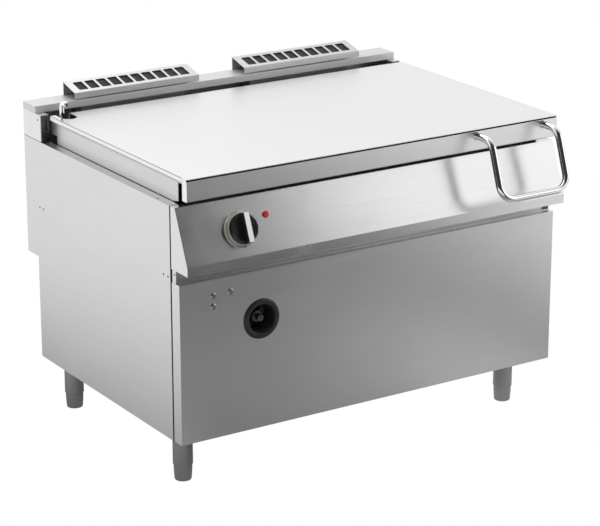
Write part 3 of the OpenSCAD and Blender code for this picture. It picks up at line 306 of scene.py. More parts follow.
def remap(tree, value, low=0.0, high=1.0, to_low=0.0, to_high=1.0):
    return add(tree, "MapRange", {
        "Value": value, "From Min": low, "From Max": high, "To Min": to_low, "To Max": to_high})


print("number helpers ready")

# %% [markdown]
# Three helpers deal with colour: a grey with an optional tint, a blend of two
# colours, and a colour ramp from a list of stops.

# %% Colours
def grey(value, tint=(1.0, 1.0, 1.0)):
    return (value * tint[0], value * tint[1], value * tint[2], 1)


def mix_colour(tree, factor, first, second):
    return add(tree, "Mix", {0: factor, 6: first, 7: second}, data_type="RGBA").outputs[2]


def grade(tree, value, stops):
    """A colour ramp from (position, colour) pairs, in rising order."""
    node = add(tree, "ValToRGB", {"Fac": value})
    elements = node.color_ramp.elements
    elements[0].position, elements[0].color = stops[0]
    elements[1].position, elements[1].color = stops[-1]
    for position, colour in stops[1:-1]:
        elements.new(position).color = colour
    return node


print("colour helpers ready")

# %% [markdown]
# ## Shared effects
# A node group is a recipe that many materials can use. The first one squeezes a
# noise along one direction, so that it turns into the fine lines that a grinding
# belt leaves, with wider and fainter streaks among them.

# %% Brushed grain
grain_group, entry, leave = shared_group(
    "Brushed grain",
    [("Vector", "Vector", (0, 0, 0)), ("Stretch", "Vector", (4, 260, 260))],
    [("Grain", "Float"), ("Streak", "Float")],
)
squeezed = calc(grain_group, "MULTIPLY", entry.outputs["Vector"], entry.outputs["Stretch"], kind="VectorMath")
fine = add(grain_group, "TexNoise", {"Vector": squeezed, "Scale": 1.0, "Detail": 3.0, "Roughness": 0.6})
wide = add(grain_group, "TexNoise", {"Vector": squeezed, "Scale": 0.09, "Detail": 2.0})
spread = remap(grain_group, fine.outputs["Fac"], 0.3, 0.7)
fill(grain_group, leave, {"Grain": spread, "Streak": wide.outputs["Fac"]})
print("made", grain_group.name)

# %% [markdown]
# Used steel has soft smudges and a few thin scratches. The scratches are the
# borders of long Voronoi cells, kept only inside the smudges.

# %% Handling marks
marks_group, entry, leave = shared_group(
    "Handling marks",
    [("Vector", "Vector", (0, 0, 0)), ("Size", "Float", 5.0)],
    [("Smudge", "Float"), ("Scratch", "Float")],
)
cloud = add(marks_group, "TexNoise", {
    "Vector": entry.outputs["Vector"], "Scale": entry.outputs["Size"], "Detail": 5.0, "Distortion": 0.8})
smudge = remap(marks_group, cloud.outputs["Fac"], 0.48, 0.78)
tilted = add(marks_group, "Mapping", {
    "Vector": entry.outputs["Vector"], "Rotation": (0.5, 0.3, 0.9), "Scale": (3, 90, 40)})
cells = add(marks_group, "TexVoronoi", {"Vector": tilted, "Scale": 1.0}, feature="DISTANCE_TO_EDGE")
line = remap(marks_group, cells.outputs["Distance"], 0.0, 0.025, 1.0, 0.0)
rare = calc(marks_group, "MULTIPLY", line, smudge)
fill(marks_group, leave, {"Smudge": smudge, "Scratch": rare})
print("made", marks_group.name)

# %% [markdown]
# Dust settles on faces that look up, more of it near the floor, and in patches.

# %% Settled dust
dust_group, entry, leave = shared_group(
    "Settled dust",
    [("Vector", "Vector", (0, 0, 0)), ("Normal", "Vector", (0, 0, 1))],
    [("Dust", "Float")],
)
facing = add(dust_group, "SeparateXYZ", {0: entry.outputs["Normal"]})
level = remap(dust_group, facing.outputs["Z"], 0.3, 0.95)
place = add(dust_group, "SeparateXYZ", {0: entry.outputs["Vector"]})
low = remap(dust_group, place.outputs["Z"], 0.0, 0.7, 1.0, 0.35)
specks = add(dust_group, "TexNoise", {"Vector": entry.outputs["Vector"], "Scale": 38.0, "Detail": 6.0})
patchy = remap(dust_group, specks.outputs["Fac"], 0.35, 0.7)
settling = calc(dust_group, "MULTIPLY", level, low)
fill(dust_group, leave, {"Dust": calc(dust_group, "MULTIPLY", settling, patchy)})
print("made", dust_group.name)

# %% [markdown]
# Steel that has been hot turns straw, brown and blue in bands.

# %% Heat tint
heat_group, entry, leave = shared_group(
    "Heat tint",
    [("Vector", "Vector", (0, 0, 0)), ("Base", "Color", (0.3, 0.3, 0.3, 1))],
    [("Color", "Color"), ("Scale", "Float")],
)
bands = add(heat_group, "TexNoise", {
    "Vector": entry.outputs["Vector"], "Scale": 7.0, "Detail": 3.0, "Distortion": 0.5})
TINT_SHARE = 0.55
TINTS = [(0.38, (0.30, 0.21, 0.12, 1)), (0.52, (0.24, 0.17, 0.20, 1)), (0.66, (0.14, 0.15, 0.22, 1))]
hot_colour = grade(heat_group, bands.outputs["Fac"], TINTS)
mixed = mix_colour(heat_group, TINT_SHARE, entry.outputs["Base"], hot_colour)
fill(heat_group, leave, {"Color": mixed, "Scale": bands.outputs["Fac"]})
print("made", heat_group.name)

# %% [markdown]
# ## Materials
# Every metal is built by one function. It takes the colour, the roughness and
# the direction of the brushing, and mixes in the shared effects. The texture
# coordinates are the object's own, so the grain stays put when a part moves.

# %% The recipe for metals
SCRATCH_SHARE, SCRATCH_TONE, BRIGHTEST = 0.035, 0.75, 0.97
STREAK_LOW, STREAK_HIGH, GRAIN_HEIGHT = -0.02, 0.03, 0.0002
DUST_COLOUR, DARK_LINE_COLOUR = (0.30, 0.28, 0.25, 1), (0.01, 0.01, 0.01, 1)


def new_material(name):
    """A material with its node tree, its shader and the object's own coordinates."""
    mat = bpy.data.materials.new(name)
    mat.use_nodes = True
    tree = mat.node_tree
    return mat, tree, tree.nodes["Principled BSDF"], add(tree, "TexCoord").outputs["Object"]


def metal(name, colour, rough, stretch, grain, bump=0.03, smudge=0.06, dust=0.0,
          tint=(1.0, 1.0, 1.0), metallic=1.0, dark_line=None):
    """A metal with grain along the axis of least stretch. A dark line is near-black colour below a measure
    along one axis.
    """
    mat, tree, shader, where = new_material(name)
    lines = add(tree, "Group", {"Vector": where, "Stretch": stretch}, node_tree=grain_group)
    marks = add(tree, "Group", {"Vector": where}, node_tree=marks_group)
    dark, light = grey(colour * (1 - grain), tint), grey(min(colour * (1 + grain), BRIGHTEST), tint)
    base = mix_colour(tree, lines.outputs["Grain"], dark, light)
    worn = calc(tree, "MULTIPLY", marks.outputs["Scratch"], SCRATCH_SHARE)
    base = mix_colour(tree, worn, base, grey(colour * SCRATCH_TONE, tint))
    if dust:
        facing = add(tree, "NewGeometry").outputs["Normal"]
        settled = add(tree, "Group", {"Vector": where, "Normal": facing}, node_tree=dust_group)
        base = mix_colour(tree, calc(tree, "MULTIPLY", settled, dust), base, DUST_COLOUR)
    # near-black below the measure; on the side panels this is a painted shadow line
    if dark_line:
        axis, edge = dark_line
        along = add(tree, "SeparateXYZ", {0: where})
        dark_line_mask = calc(tree, "LESS_THAN", along.outputs[axis], edge)
        base = mix_colour(tree, dark_line_mask, base, DARK_LINE_COLOUR)
    streaky = remap(tree, lines.outputs["Streak"], to_low=rough + STREAK_LOW, to_high=rough + STREAK_HIGH)
    blurred = calc(tree, "MULTIPLY_ADD", marks.outputs["Smudge"], smudge, streaky)
    relief = add(tree, "Bump", {"Strength": bump, "Distance": GRAIN_HEIGHT, "Height": lines.outputs["Grain"]})
    fill(tree, shader, {"Base Color": base, "Roughness": blurred, "Metallic": metallic, "Normal": relief})
    return mat


print("recipe ready")

# %% [markdown]
# The sheets differ in brushing direction and in how bright and smooth they are.
# The side panels get a painted shadow line along their front edge, where the gap beside the front panel lies in
# shade, and the columns a dark line along their foot, at a measure taken from their CAD boxes.

# %% Steels
SIDE_SHADOW_LINE, POST_DARK_LINE = 0.0035, 0.0016
ALONG_X, ALONG_Y, ALONG_Z = (4, 260, 260), (260, 4, 260), (260, 260, 4)
EVEN = (120, 120, 120)
steel_front = metal("Brushed steel, front", 0.73, 0.30, ALONG_X, grain=0.025, bump=0.02)
# A darker copy of the front steel for the pressed pips: painted shade, so they mirror less of the bright floor
# at their lower left.
steel_pips = metal("Pressed pips", 0.48, 0.25, EVEN, grain=0.03)
steel_slope = metal("Brushed steel, control panel", 0.73, 0.23, ALONG_X, grain=0.02, bump=0.02)
steel_casing = metal("Brushed steel, pan casing", 0.66, 0.32, ALONG_Y, grain=0.03)
steel_side = metal("Brushed steel, side", 0.72, 0.34, ALONG_Y, grain=0.03, bump=0.02,
                   dark_line=("Y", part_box("left_side_panel")[0].y + SIDE_SHADOW_LINE))
steel_back = metal("Brushed steel, back", 0.66, 0.38, ALONG_X, grain=0.07)
steel_lid = metal("Satin steel, lid", 0.86, 0.30, ALONG_X, grain=0.02, bump=0.02, smudge=0.03)
steel_inner = metal("Satin steel, inside", 0.66, 0.36, ALONG_X, grain=0.08, smudge=0.10)
steel_hood = metal("Satin steel, hoods", 0.70, 0.38, ALONG_X, grain=0.03, metallic=0.8)
steel_beam = metal("Satin steel, beam", 0.72, 0.44, ALONG_X, grain=0.04, metallic=0.5)
steel_post = metal("Steel, columns", 0.80, 0.34, ALONG_Z, grain=0.05,
                   dark_line=("Z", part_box("rear_columns")[0].z + POST_DARK_LINE))
steel_frame = metal("Frame steel", 0.36, 0.48, EVEN, grain=0.10, bump=0.10, dust=0.5)
steel_legs = metal("Leg steel", 0.36, 0.32, ALONG_Z, grain=0.08)
steel_dark = metal("Dark plate", 0.16, 0.42, EVEN, grain=0.12, bump=0.06)
print(len(bpy.data.materials), "steels")

# %% [markdown]
# The drive, the fittings and the handle are of other metals. A pipe painted
# yellow is the usual sign for gas, and its paint isn't metallic.

# %% Other metals
TURNED, COARSE = (300, 300, 40), (60, 60, 60)
chrome = metal("Polished steel", 0.86, 0.10, ALONG_X, grain=0.01, bump=0.0, smudge=0.02)
gear_black = metal("Blackened gear steel", 0.17, 0.36, TURNED, grain=0.12, dust=0.15)
gear_steel = metal("Ground gear steel", 0.46, 0.30, TURNED, grain=0.12, dust=0.15, tint=(1.0, 0.98, 0.94))
bronze = metal("Worm bronze", 0.62, 0.30, TURNED, grain=0.10, tint=(1.0, 0.70, 0.38))
cast = metal("Cast housing", 0.24, 0.58, COARSE, grain=0.22, bump=0.30, dust=0.4,
             tint=(0.94, 0.98, 1.0), metallic=0.6)
gas_yellow = metal("Painted gas pipe", 0.55, 0.36, COARSE, grain=0.05, dust=0.2,
                   tint=(1.35, 0.98, 0.12), metallic=0.0)
silver = metal("Silver strip", 0.96, 0.38, ALONG_Z, grain=0.01, metallic=0.05)
brass = metal("Brass fittings", 0.66, 0.24, (200, 200, 200), grain=0.06, tint=(1.1, 0.86, 0.45))
print(len(bpy.data.materials), "metals")

# %% [markdown]
# ## Plastics and wool
# These have a fine relief in place of the grain. The black grip is faintly
# textured, the red button is glossy, the knob's skirt is a pale grey green and
# the wool is a rough white fibre.

# %% Moulded materials
SMUDGE_SIZE, SKIN_HEIGHT = 30.0, 0.0004


def moulded(name, colour, rough, relief_size, relief, coat=0.0):
    mat, tree, shader, where = new_material(name)
    marks = add(tree, "Group", {"Vector": where, "Size": SMUDGE_SIZE}, node_tree=marks_group)
    skin = add(tree, "TexNoise", {"Vector": where, "Scale": relief_size, "Detail": 4.0})
    lighter = (*[min(c * 1.5 + 0.01, 1) for c in colour], 1)
    base = mix_colour(tree, marks.outputs["Smudge"], (*colour, 1), lighter)
    rougher = remap(tree, skin.outputs["Fac"], to_low=rough - 0.06, to_high=rough + 0.08)
    bump = add(tree, "Bump", {"Strength": relief, "Distance": SKIN_HEIGHT, "Height": skin.outputs["Fac"]})
    fill(tree, shader, {"Base Color": base, "Roughness": rougher, "Coat Weight": coat, "Normal": bump})
    return mat


black_plastic = moulded("Black plastic", (0.012, 0.012, 0.013), 0.34, 900.0, 0.12)
black_cup = moulded("Black moulded cup", (0.020, 0.020, 0.021), 0.40, 500.0, 0.10)
red_plastic = moulded("Red button", (0.62, 0.010, 0.018), 0.22, 300.0, 0.02, coat=0.6)
pale_skirt = moulded("Grey green skirt", (0.47, 0.48, 0.43), 0.30, 300.0, 0.04, coat=0.2)
wool = moulded("Ceramic wool", (0.66, 0.63, 0.56), 0.92, 130.0, 0.9)
# Flue shadow is painted shade: a near-black used where gaps, slots and holes lie in shade.
painted_shade = moulded("Flue shadow", (0.035, 0.035, 0.037), 0.85, 200.0, 0.4)
print(len(bpy.data.materials), "materials so far")

# %% [markdown]
# ## Hot steel
# The parts round the fire carry the heat tint. The burner tubes also get a dark dot for each flame port, from a
# pattern that repeats along the tube on the faces that look up. The dots are painted shade: the tubes have no
# holes, and the dark stands for the inside of each port.

# %% Steel that has been hot
PORT_PITCH, PORT_HALF, PORT_FACING = 0.014, 0.0028, 0.86


def hot_steel(name, base, ports=False):
    mat, tree, shader, where = new_material(name)
    tint = add(tree, "Group", {"Vector": where, "Base": grey(base)}, node_tree=heat_group)
    colour = tint.outputs["Color"]
    if ports:
        split = add(tree, "SeparateXYZ", {0: where})
        cell = calc(tree, "PINGPONG", split.outputs["Y"], PORT_PITCH)
        across = calc(tree, "LESS_THAN", cell, PORT_HALF)
        facing = add(tree, "SeparateXYZ", {0: add(tree, "NewGeometry").outputs["Normal"]})
        top = calc(tree, "GREATER_THAN", facing.outputs["Z"], PORT_FACING)
        # painted shade: a near-black dot where each port's hole would be
        colour = mix_colour(tree, calc(tree, "MULTIPLY", across, top), colour, grey(0.004))
    rough = remap(tree, tint.outputs["Scale"], to_low=0.30, to_high=0.55)
    fill(tree, shader, {"Base Color": colour, "Roughness": rough, "Metallic": 1.0})
    return mat


hot_plate = hot_steel("Heat spreading plate", 0.30)
hot_burner = hot_steel("Burner tube", 0.42, ports=True)
hot_chamber = hot_steel("Combustion chamber", 0.48)
print(len(bpy.data.materials), "materials")

# %% [markdown]
# ## Dressing the CAD parts
# A small geometry node group shades round faces smooth and keeps true edges
# sharp. It looks at the angle at each edge: below the fold angle the edge is
# shaded smooth.

# %% Smooth shading by angle, as a modifier
smoother = bpy.data.node_groups.new("Smooth by angle", "GeometryNodeTree")
smoother.interface.new_socket("Geometry", in_out="INPUT", socket_type="NodeSocketGeometry")
smoother.interface.new_socket("Geometry", in_out="OUTPUT", socket_type="NodeSocketGeometry")
fold_socket = smoother.interface.new_socket("Fold angle", in_out="INPUT", socket_type="NodeSocketFloat")
g_in, g_out = smoother.nodes.new("NodeGroupInput"), smoother.nodes.new("NodeGroupOutput")
g_face = smoother.nodes.new("GeometryNodeSetShadeSmooth")
g_edge = smoother.nodes.new("GeometryNodeSetShadeSmooth")
g_edge.domain = "EDGE"
g_angle = smoother.nodes.new("GeometryNodeInputMeshEdgeAngle")
g_less = smoother.nodes.new("FunctionNodeCompare")
g_less.operation = "LESS_THAN"
fill(smoother, g_less, {0: g_angle.outputs["Unsigned Angle"], 1: g_in.outputs["Fold angle"]})
fill(smoother, g_face, {"Geometry": g_in})
fill(smoother, g_edge, {"Geometry": g_face, "Shade Smooth": g_less})
fill(smoother, g_out, {0: g_edge})
print("made", smoother.name)

# %% [markdown]
# `dress` puts a row of modifiers on a CAD part. A weld joins the corners and a
# planar decimate makes one face of each flat. Then comes the smooth shading, and
# a narrow bevel catches the light on the sheet edges. All of them are modifiers,
# so the CAD meshes themselves don't change.

# %% Dressing one part
WELD_GAP, FLAT_ANGLE = 1e-5, 0.3  # metres and degrees
EDGE, FOLD = 0.0006, 32  # metres and degrees


def dress(name, material, edge=EDGE, fold=FOLD):
    """Gives a CAD node its material and soft edges. Bends under the fold angle look round."""
    part = nodes[name]
    part.data.materials.clear()
    paint(part, material)
    weld = part.modifiers.new("Weld", "WELD")
    weld.merge_threshold = WELD_GAP
    flats = part.modifiers.new("One face per flat", "DECIMATE")
    flats.decimate_type = "DISSOLVE"
    flats.angle_limit = math.radians(FLAT_ANGLE)
    shade = part.modifiers.new("Smooth by angle", "NODES")
    shade.node_group = smoother
    shade[fold_socket.identifier] = math.radians(fold)
    if edge:
        soften(part, edge, 2, angle=fold + 2)


print("ready to dress")

# %% [markdown]
# This table says which parts get which material. Every CAD part is in it once.

# %% Which part gets which material
FEET = ["front_left_foot", "front_right_foot", "rear_left_foot", "rear_right_foot"]
finishes = {
    steel_front: ["front_panel", "recess_rail"],
    steel_pips: ["front_panel_pips"],
    steel_slope: ["control_panel"],
    steel_casing: ["left_pan_casing", "right_pan_casing"],
    steel_side: ["left_side_panel", "right_side_panel", "panel_spacers"],
    steel_back: ["lower_back_panel", "upper_back_panel", "bottom_panel", "rear_pan_casing"],
    steel_post: ["rear_columns"],
    steel_hood: ["left_flue_hood", "right_flue_hood"],
    steel_beam: ["rear_beam"],
    steel_inner: ["pan_vessel", "lid_liner", "flue_ducts"],
    steel_frame: ["base_frame", "gearbox_bracket", "chamber_brackets", "pan_arms", "shaft_bearings"],
    steel_dark: ["hinge_guide_plates"],
    steel_legs: FEET + ["leg_tubes", "hinge_barrels", "lid_hinge_arms"],
    chrome: ["lid_handle", "handle_ferrules", "hinge_pins", "filling_spout"],
    silver: ["knob_strip"],
    gear_steel: ["worm_shaft", "tilt_sector", "tilt_shaft"],
    gear_black: ["crank_spindle"],
    bronze: ["tilt_worm"],
    cast: ["gearbox"],
    gas_yellow: ["gas_pipe", "burner_feed", "gas_inlet", "burner_manifold"],
    brass: ["gas_valve", "water_inlet"],
    hot_plate: ["pan_base_plate"],
    hot_burner: ["burner_tubes"],
    hot_chamber: ["combustion_chamber"],
    wool: ["chamber_insulation"],
    steel_lid: ["lid_shell"],
    pale_skirt: ["knob_bezel"],
    black_plastic: ["control_knob", "igniter_body"],
    black_cup: ["crank_recess"],
    red_plastic: ["ignition_button"],
}
print(len(finishes), "finishes")

# %% [markdown]
# Most parts get the usual bevel. Thick castings get a wider one, the sector's
# teeth a narrower one, and the worm and round tubes none. Slow bends on folded
# panels need a small fold angle, or they would be shaded as one round face.

# %% Dressing them all
edge_widths = {"lid_shell": 0.0012, "left_flue_hood": 0.0007, "right_flue_hood": 0.0007, "gearbox": 0.002,
               "gas_valve": 0.0015, "pan_vessel": 0.0008, "pan_base_plate": 0.0015, "tilt_sector": 0.0003,
               "tilt_worm": 0.0, "lid_handle": 0.0, "filling_spout": 0.0, "chamber_insulation": 0.003,
               "leg_tubes": 0.0008, "front_panel": 0.0012, "control_panel": 0.0014}
fold_angles = {"control_panel": 14, "left_flue_hood": 12, "right_flue_hood": 12, "recess_rail": 12}
for finish, names in finishes.items():
    for name in names:
        dress(name, finish, edge_widths.get(name, EDGE), fold_angles.get(name, FOLD))
dressed = {name for names in finishes.values() for name in names}
print("dressed", len(dressed), "of", len(nodes), "missing", sorted(set(nodes) - dressed))

# %% [markdown]
# ## The lid
# In the CAD the lid is a thin tray with a hollow front apron. The finer version
# has the soft bends of folded sheet: a small radius along the front and back and
# a dark groove under the front edge. Its outline goes down the apron, back along
# the underside and over the top.

# %% Lid shell with folded edges
lid_low, lid_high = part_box("lid_shell")
APRON_DEEP, LID_SHEET, SHADOW_GAP = 0.023, 0.002, 0.0065
GROOVE_TALL, GROOVE_DEEP, WALL_LAP = 0.0045, 0.004, 0.001
BEND, GROOVE_BEND, FOOT_BEND, BACK_BEND = 0.002, 0.001, 0.0035, 0.004
tray_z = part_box("lid_liner")[0].z + SHADOW_GAP
front_y, back_y, top_z, foot_z = lid_low.y, lid_high.y, lid_high.z, lid_low.z
lip_z = top_z - LID_SHEET
groove_z = lip_z - GROOVE_TALL
groove_y = front_y + GROOVE_DEEP
outline = arc(front_y + BEND, top_z - BEND, BEND, 90, 180, 4)[:-1]
outline += [(front_y, lip_z), (groove_y, lip_z), (groove_y, groove_z), (front_y + GROOVE_BEND, groove_z)]
outline += arc(front_y + GROOVE_BEND, groove_z - GROOVE_BEND, GROOVE_BEND, 90, 180, 3)[1:]
outline += arc(front_y + FOOT_BEND, foot_z + FOOT_BEND, FOOT_BEND, 180, 270, 6)
outline += arc(front_y + APRON_DEEP - BEND, foot_z + BEND, BEND, 270, 360, 3)
outline += [(front_y + APRON_DEEP, lip_z), (back_y - LID_SHEET, lip_z)]
outline += [(back_y - LID_SHEET, tray_z), (back_y, tray_z)]
outline += arc(back_y - BACK_BEND, top_z - BACK_BEND, BACK_BEND, 0, 90, 6)
lid_sheet = extrude("lid_sheet", outline, lid_low.x, lid_high.x)
print("lid sheet has", len(lid_sheet.data.polygons), "faces")

# %% [markdown]
# Two thin walls close the tray at the left and the right.

# %% Side walls of the lid
side_walls = []
for side in (-1, 1):
    outer = side * lid_high.x
    inner = outer - side * LID_SHEET
    wall_low = (min(outer, inner), front_y + APRON_DEEP - WALL_LAP, tray_z)
    wall_high = (max(outer, inner), back_y - LID_SHEET / 2, top_z - LID_SHEET / 4)
    side_walls.append(block("wall", wall_low, wall_high))
print(len(side_walls), "side walls")

# %% [markdown]
# The filling spout comes through a rounded notch at the left rear, open at the back. It is cut before the side
# walls join the sheet, because a boolean works best on one closed solid. The faces inside the front groove get
# the near-black material: painted shade in the groove.

# %% Notch for the spout
NOTCH_X, NOTCH_R, NOTCH_LEN, CUT_REACH = -0.548, 0.022, 0.064, 0.03
NEAR = 1e-4
notch_y, cut_z = back_y - NOTCH_LEN + NOTCH_R, top_z - 0.01
end_shape = [(0, -CUT_REACH), (NOTCH_R, -CUT_REACH), (NOTCH_R, CUT_REACH), (0, CUT_REACH)]
rounded_end = lathe("notch_end", end_shape, Matrix.Translation((NOTCH_X, notch_y, cut_z)), 48)
straight = block("notch_run", (NOTCH_X - NOTCH_R, notch_y, cut_z - CUT_REACH),
                 (NOTCH_X + NOTCH_R, back_y + 0.01, cut_z + CUT_REACH))
cut(lid_sheet, rounded_end)
cut(lid_sheet, straight)
lid_sheet = join("lid_sheet", [lid_sheet] + side_walls)
paint(lid_sheet, steel_lid, painted_shade)
for face in lid_sheet.data.polygons:
    spot = face.center
    if groove_z - NEAR < spot.z < lip_z + NEAR and front_y + 2 * NEAR < spot.y < groove_y + NEAR:
        face.material_index = 1
soften(lid_sheet, 0.0005, 2, 40)
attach(lid_sheet, "lid")
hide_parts("lid_shell")
print("lid after the notch:", len(lid_sheet.data.polygons), "faces")

# %% [markdown]
# ## The lid handle
# The handle is one bent tube. The path runs forward from the lid, turns down,
# crosses at the bottom and comes back, and each corner is an arc.

# %% Bent tube handle
grip_low, grip_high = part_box("lid_handle")
TUBE_R, HANDLE_BEND, REACH, DROP = 0.010, 0.040, 0.058, 0.153
TILT = math.radians(19.5)  # how far the front part leans forward at its foot
left_x, right_x = grip_low.x + TUBE_R, grip_high.x - TUBE_R
leg_z = grip_high.z - TUBE_R
root_y, turn_y = front_y + 0.001, front_y - REACH
bar_y, bar_z = turn_y - DROP * math.tan(TILT), leg_z - DROP
corners = [Vector((left_x, root_y, leg_z)), Vector((left_x, turn_y, leg_z)), Vector((left_x, bar_y, bar_z)),
           Vector((right_x, bar_y, bar_z)), Vector((right_x, turn_y, leg_z)), Vector((right_x, root_y, leg_z))]
handle_tube = pipe("handle_tube", rounded_path(corners, [HANDLE_BEND] * 4, 16), TUBE_R, 36)
paint(handle_tube, chrome)
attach(handle_tube, "lid")
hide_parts("lid_handle")
print("handle from x", round(left_x, 3), "to", round(right_x, 3))

# %% [markdown]
# ## The burner knob
# The knob is a turned shape with a pale skirt, a black cap and a raised grip bar
# across it. A bright strip lies in the bar's top, and a stem goes back through
# the panel.

# %% Knob and strip
KNOB_R, CAP_R, GRIP_HALF, GRIP_LONG = 0.043, 0.0405, 0.0092, 0.0400
SKIRT_TOP, GRIP_FOOT, CAP_TOP, GRIP_TOP = 0.013, 0.015, 0.028, 0.0455
STRIP_LONG, STRIP_HALF, STRIP_SINK, STRIP_OUT = 0.0385, 0.0072, 0.0012, 0.0008
skirt_shape = [(0.008, 0.0033), (KNOB_R - 0.001, 0.0033), (KNOB_R, 0.0045), (KNOB_R, SKIRT_TOP - 0.002),
               (KNOB_R - 0.0012, SKIRT_TOP - 0.0004), (KNOB_R - 0.003, SKIRT_TOP), (0.008, SKIRT_TOP)]
skirt = lathe("knob_skirt", skirt_shape, knob_frame)
paint(skirt, pale_skirt)
cap_shape = [(0, SKIRT_TOP), (CAP_R, SKIRT_TOP), (CAP_R, GRIP_FOOT), (0.0392, CAP_TOP - 0.005),
             (0.0375, CAP_TOP - 0.0015), (0.0350, CAP_TOP), (0.026, CAP_TOP - 0.0025), (0, CAP_TOP - 0.0035)]
cap = lathe("knob_cap", cap_shape, knob_frame)
bar_outline = []
for k in range(25):
    a = math.pi * k / 24
    rise = min(1.0, 1.9 * math.sin(a) ** 0.6)
    bar_outline.append((GRIP_LONG * math.cos(a), GRIP_FOOT + (GRIP_TOP - GRIP_FOOT) * rise))
bar = extrude("knob_bar", bar_outline, -GRIP_HALF, GRIP_HALF, knob_frame)
knob_grip = join("knob_grip", [cap, bar])
paint(knob_grip, black_plastic)
soften(knob_grip, 0.0012, 3, 40)
strip = block("knob_bright_strip", (-STRIP_HALF, -STRIP_LONG, GRIP_TOP - STRIP_SINK),
              (STRIP_HALF, STRIP_LONG, GRIP_TOP + STRIP_OUT), knob_frame)
paint(strip, silver)
soften(strip, EDGE, 2)
stem = lathe("knob_stem", [(0, -0.015), (0.0075, -0.015), (0.0075, 0.010), (0, 0.010)], knob_frame, 32)
paint(stem, gear_steel)
for piece in (skirt, knob_grip, stem):
    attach(piece, "knob")
    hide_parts("control_knob")
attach(strip, "knob")
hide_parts("knob_strip")
print("knob made of", [piece.name for piece in (skirt, knob_grip, stem, strip)])

# %% [markdown]
# The bezel is a low ring round the knob, with a small dark mark at its lowest
# point.

# %% Bezel
bezel_shape = [(0.039, 0.0002), (0.0485, 0.0002), (0.0485, 0.0016), (0.0476, 0.0028), (0.0462, 0.0032),
               (0.0440, 0.0030), (0.0432, 0.0014), (0.039, 0.0012)]
bezel = lathe("bezel_ring", bezel_shape, knob_frame)
paint(bezel, pale_skirt)
mark = block("bezel_mark", (-0.0016, -0.0478, 0.0020), (0.0016, -0.0445, 0.0036), knob_frame)
paint(mark, black_plastic)
for piece in (bezel, mark):
    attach(piece, "cabinet")
    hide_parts("knob_bezel")
print("bezel made of", [piece.name for piece in (bezel, mark)])

# %% [markdown]
# ## The crank recess
# A black ring sits on the panel and a funnel goes back from it. The square end
# of the crank's spindle stands in the middle, inside a collar with thin ribs.

# %% Crank recess
RING_H = 0.004
ring_middle = middle("crank_recess")
ring_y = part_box("crank_recess")[0].y + RING_H
crank_frame = frame_at(Vector((ring_middle.x, ring_y, ring_middle.z)), UPWARD, FACE_OUT)
cup_profile = [(0.0092, -0.0446), (0.0300, -0.0446), (0.0330, -0.0430), (0.0345, -0.0380), (0.0378, -0.0060),
               (0.0388, 0.0010), (0.0398, 0.0032), (0.0412, 0.0040), (0.0490, 0.0040), (0.0520, 0.0032),
               (0.0542, 0.0014), (0.0550, 0.0002), (0.0550, -0.0002), (0.0425, -0.0006), (0.0405, -0.0100),
               (0.0370, -0.0400), (0.0340, -0.0449), (0.0092, -0.0449)]
cup = lathe("crank_cup", cup_profile + [cup_profile[0]], crank_frame, 96)
ribs = []
for k in range(6):  # one rib every 60 degrees
    spin = crank_frame @ Matrix.Rotation(math.radians(60 * k + 15), 4, "Z")
    ribs.append(block("rib", (-0.0009, 0.0130, -0.0446), (0.0009, 0.0335, -0.0330), spin))
collar = lathe("collar", [(0.0100, -0.0446), (0.0140, -0.0446), (0.0140, -0.0300), (0.0130, -0.0290),
                          (0.0108, -0.0290), (0.0100, -0.0300), (0.0100, -0.0446)], crank_frame, 48)
cup = join("crank_cup", [cup, collar] + ribs)
paint(cup, black_cup)
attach(cup, "cabinet")
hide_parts("crank_recess")
print("recess centre", tuple(round(v, 3) for v in ring_middle))

# %% [markdown]
# ## The filling spout
# The spout is a bent tube that stands at the pan's left rear corner. Its path
# goes straight up, turns over through a smooth bend and ends in a short mouth
# that points forward over the slot in the lid.

# %% Filling spout
SPOUT_X, SETBACK, SPOUT_R, MOUTH_R = -0.557, 0.0105, 0.0075, 0.0056
ARM, SPOUT_BEND, RIM = 0.0175, 0.0085, 0.0006
spout_low, spout_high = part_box("filling_spout")
spout_foot = Vector((SPOUT_X, spout_high.y - SETBACK, spout_low.z))
arm_way = Vector((0.42, -0.88, -0.22)).normalized()
bend_top = Vector((spout_foot.x, spout_foot.y, spout_high.z - SPOUT_R - 0.0012))
mouth = bend_top + arm_way * ARM
spout_path = rounded_path([spout_foot, bend_top, mouth], [SPOUT_BEND], 14)
spout_tube = pipe("spout_tube", spout_path, SPOUT_R - RIM, 32)
mouth_frame = frame_at(mouth, arm_way.cross(UPWARD).normalized(), arm_way)
rim_shape = [(MOUTH_R, 0.0003), (MOUTH_R, -0.0040), (SPOUT_R, -0.0040), (SPOUT_R, -0.0006),
             (SPOUT_R - 0.0005, 0.0006), (MOUTH_R + 0.0004, 0.0008), (MOUTH_R, 0.0003)]
rim = lathe("spout_rim", rim_shape, mouth_frame, 40)
spout_tube = join("spout_tube", [spout_tube, rim])
paint(spout_tube, chrome)
# The bore is a near-black disc in the mouth: painted shade for the dark inside of the tube.
bore = lathe("spout_bore", [(0, 0.0004), (MOUTH_R, 0.0004), (MOUTH_R, -0.0010), (0, -0.0010)], mouth_frame, 32)
paint(bore, painted_shade)
flange_shape = [(0, 0), (0.0120, 0), (0.0120, 0.0012), (0.0100, 0.0024), (0.0072, 0.0028), (0, 0.0028)]
flange = lathe("spout_flange", flange_shape, Matrix.Translation(spout_foot), 40)
paint(flange, chrome)
for piece in (spout_tube, bore, flange):
    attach(piece, "pan")
    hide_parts("filling_spout")
print("spout mouth at", tuple(round(v, 3) for v in mouth))

# %% [markdown]
# ## Dark screens under the flue slots
# In the photograph the slots of the hoods look dark, with a faint mesh in them.
# A thin near-black screen lies just under each sloping top and gives that: painted shade in the slots.

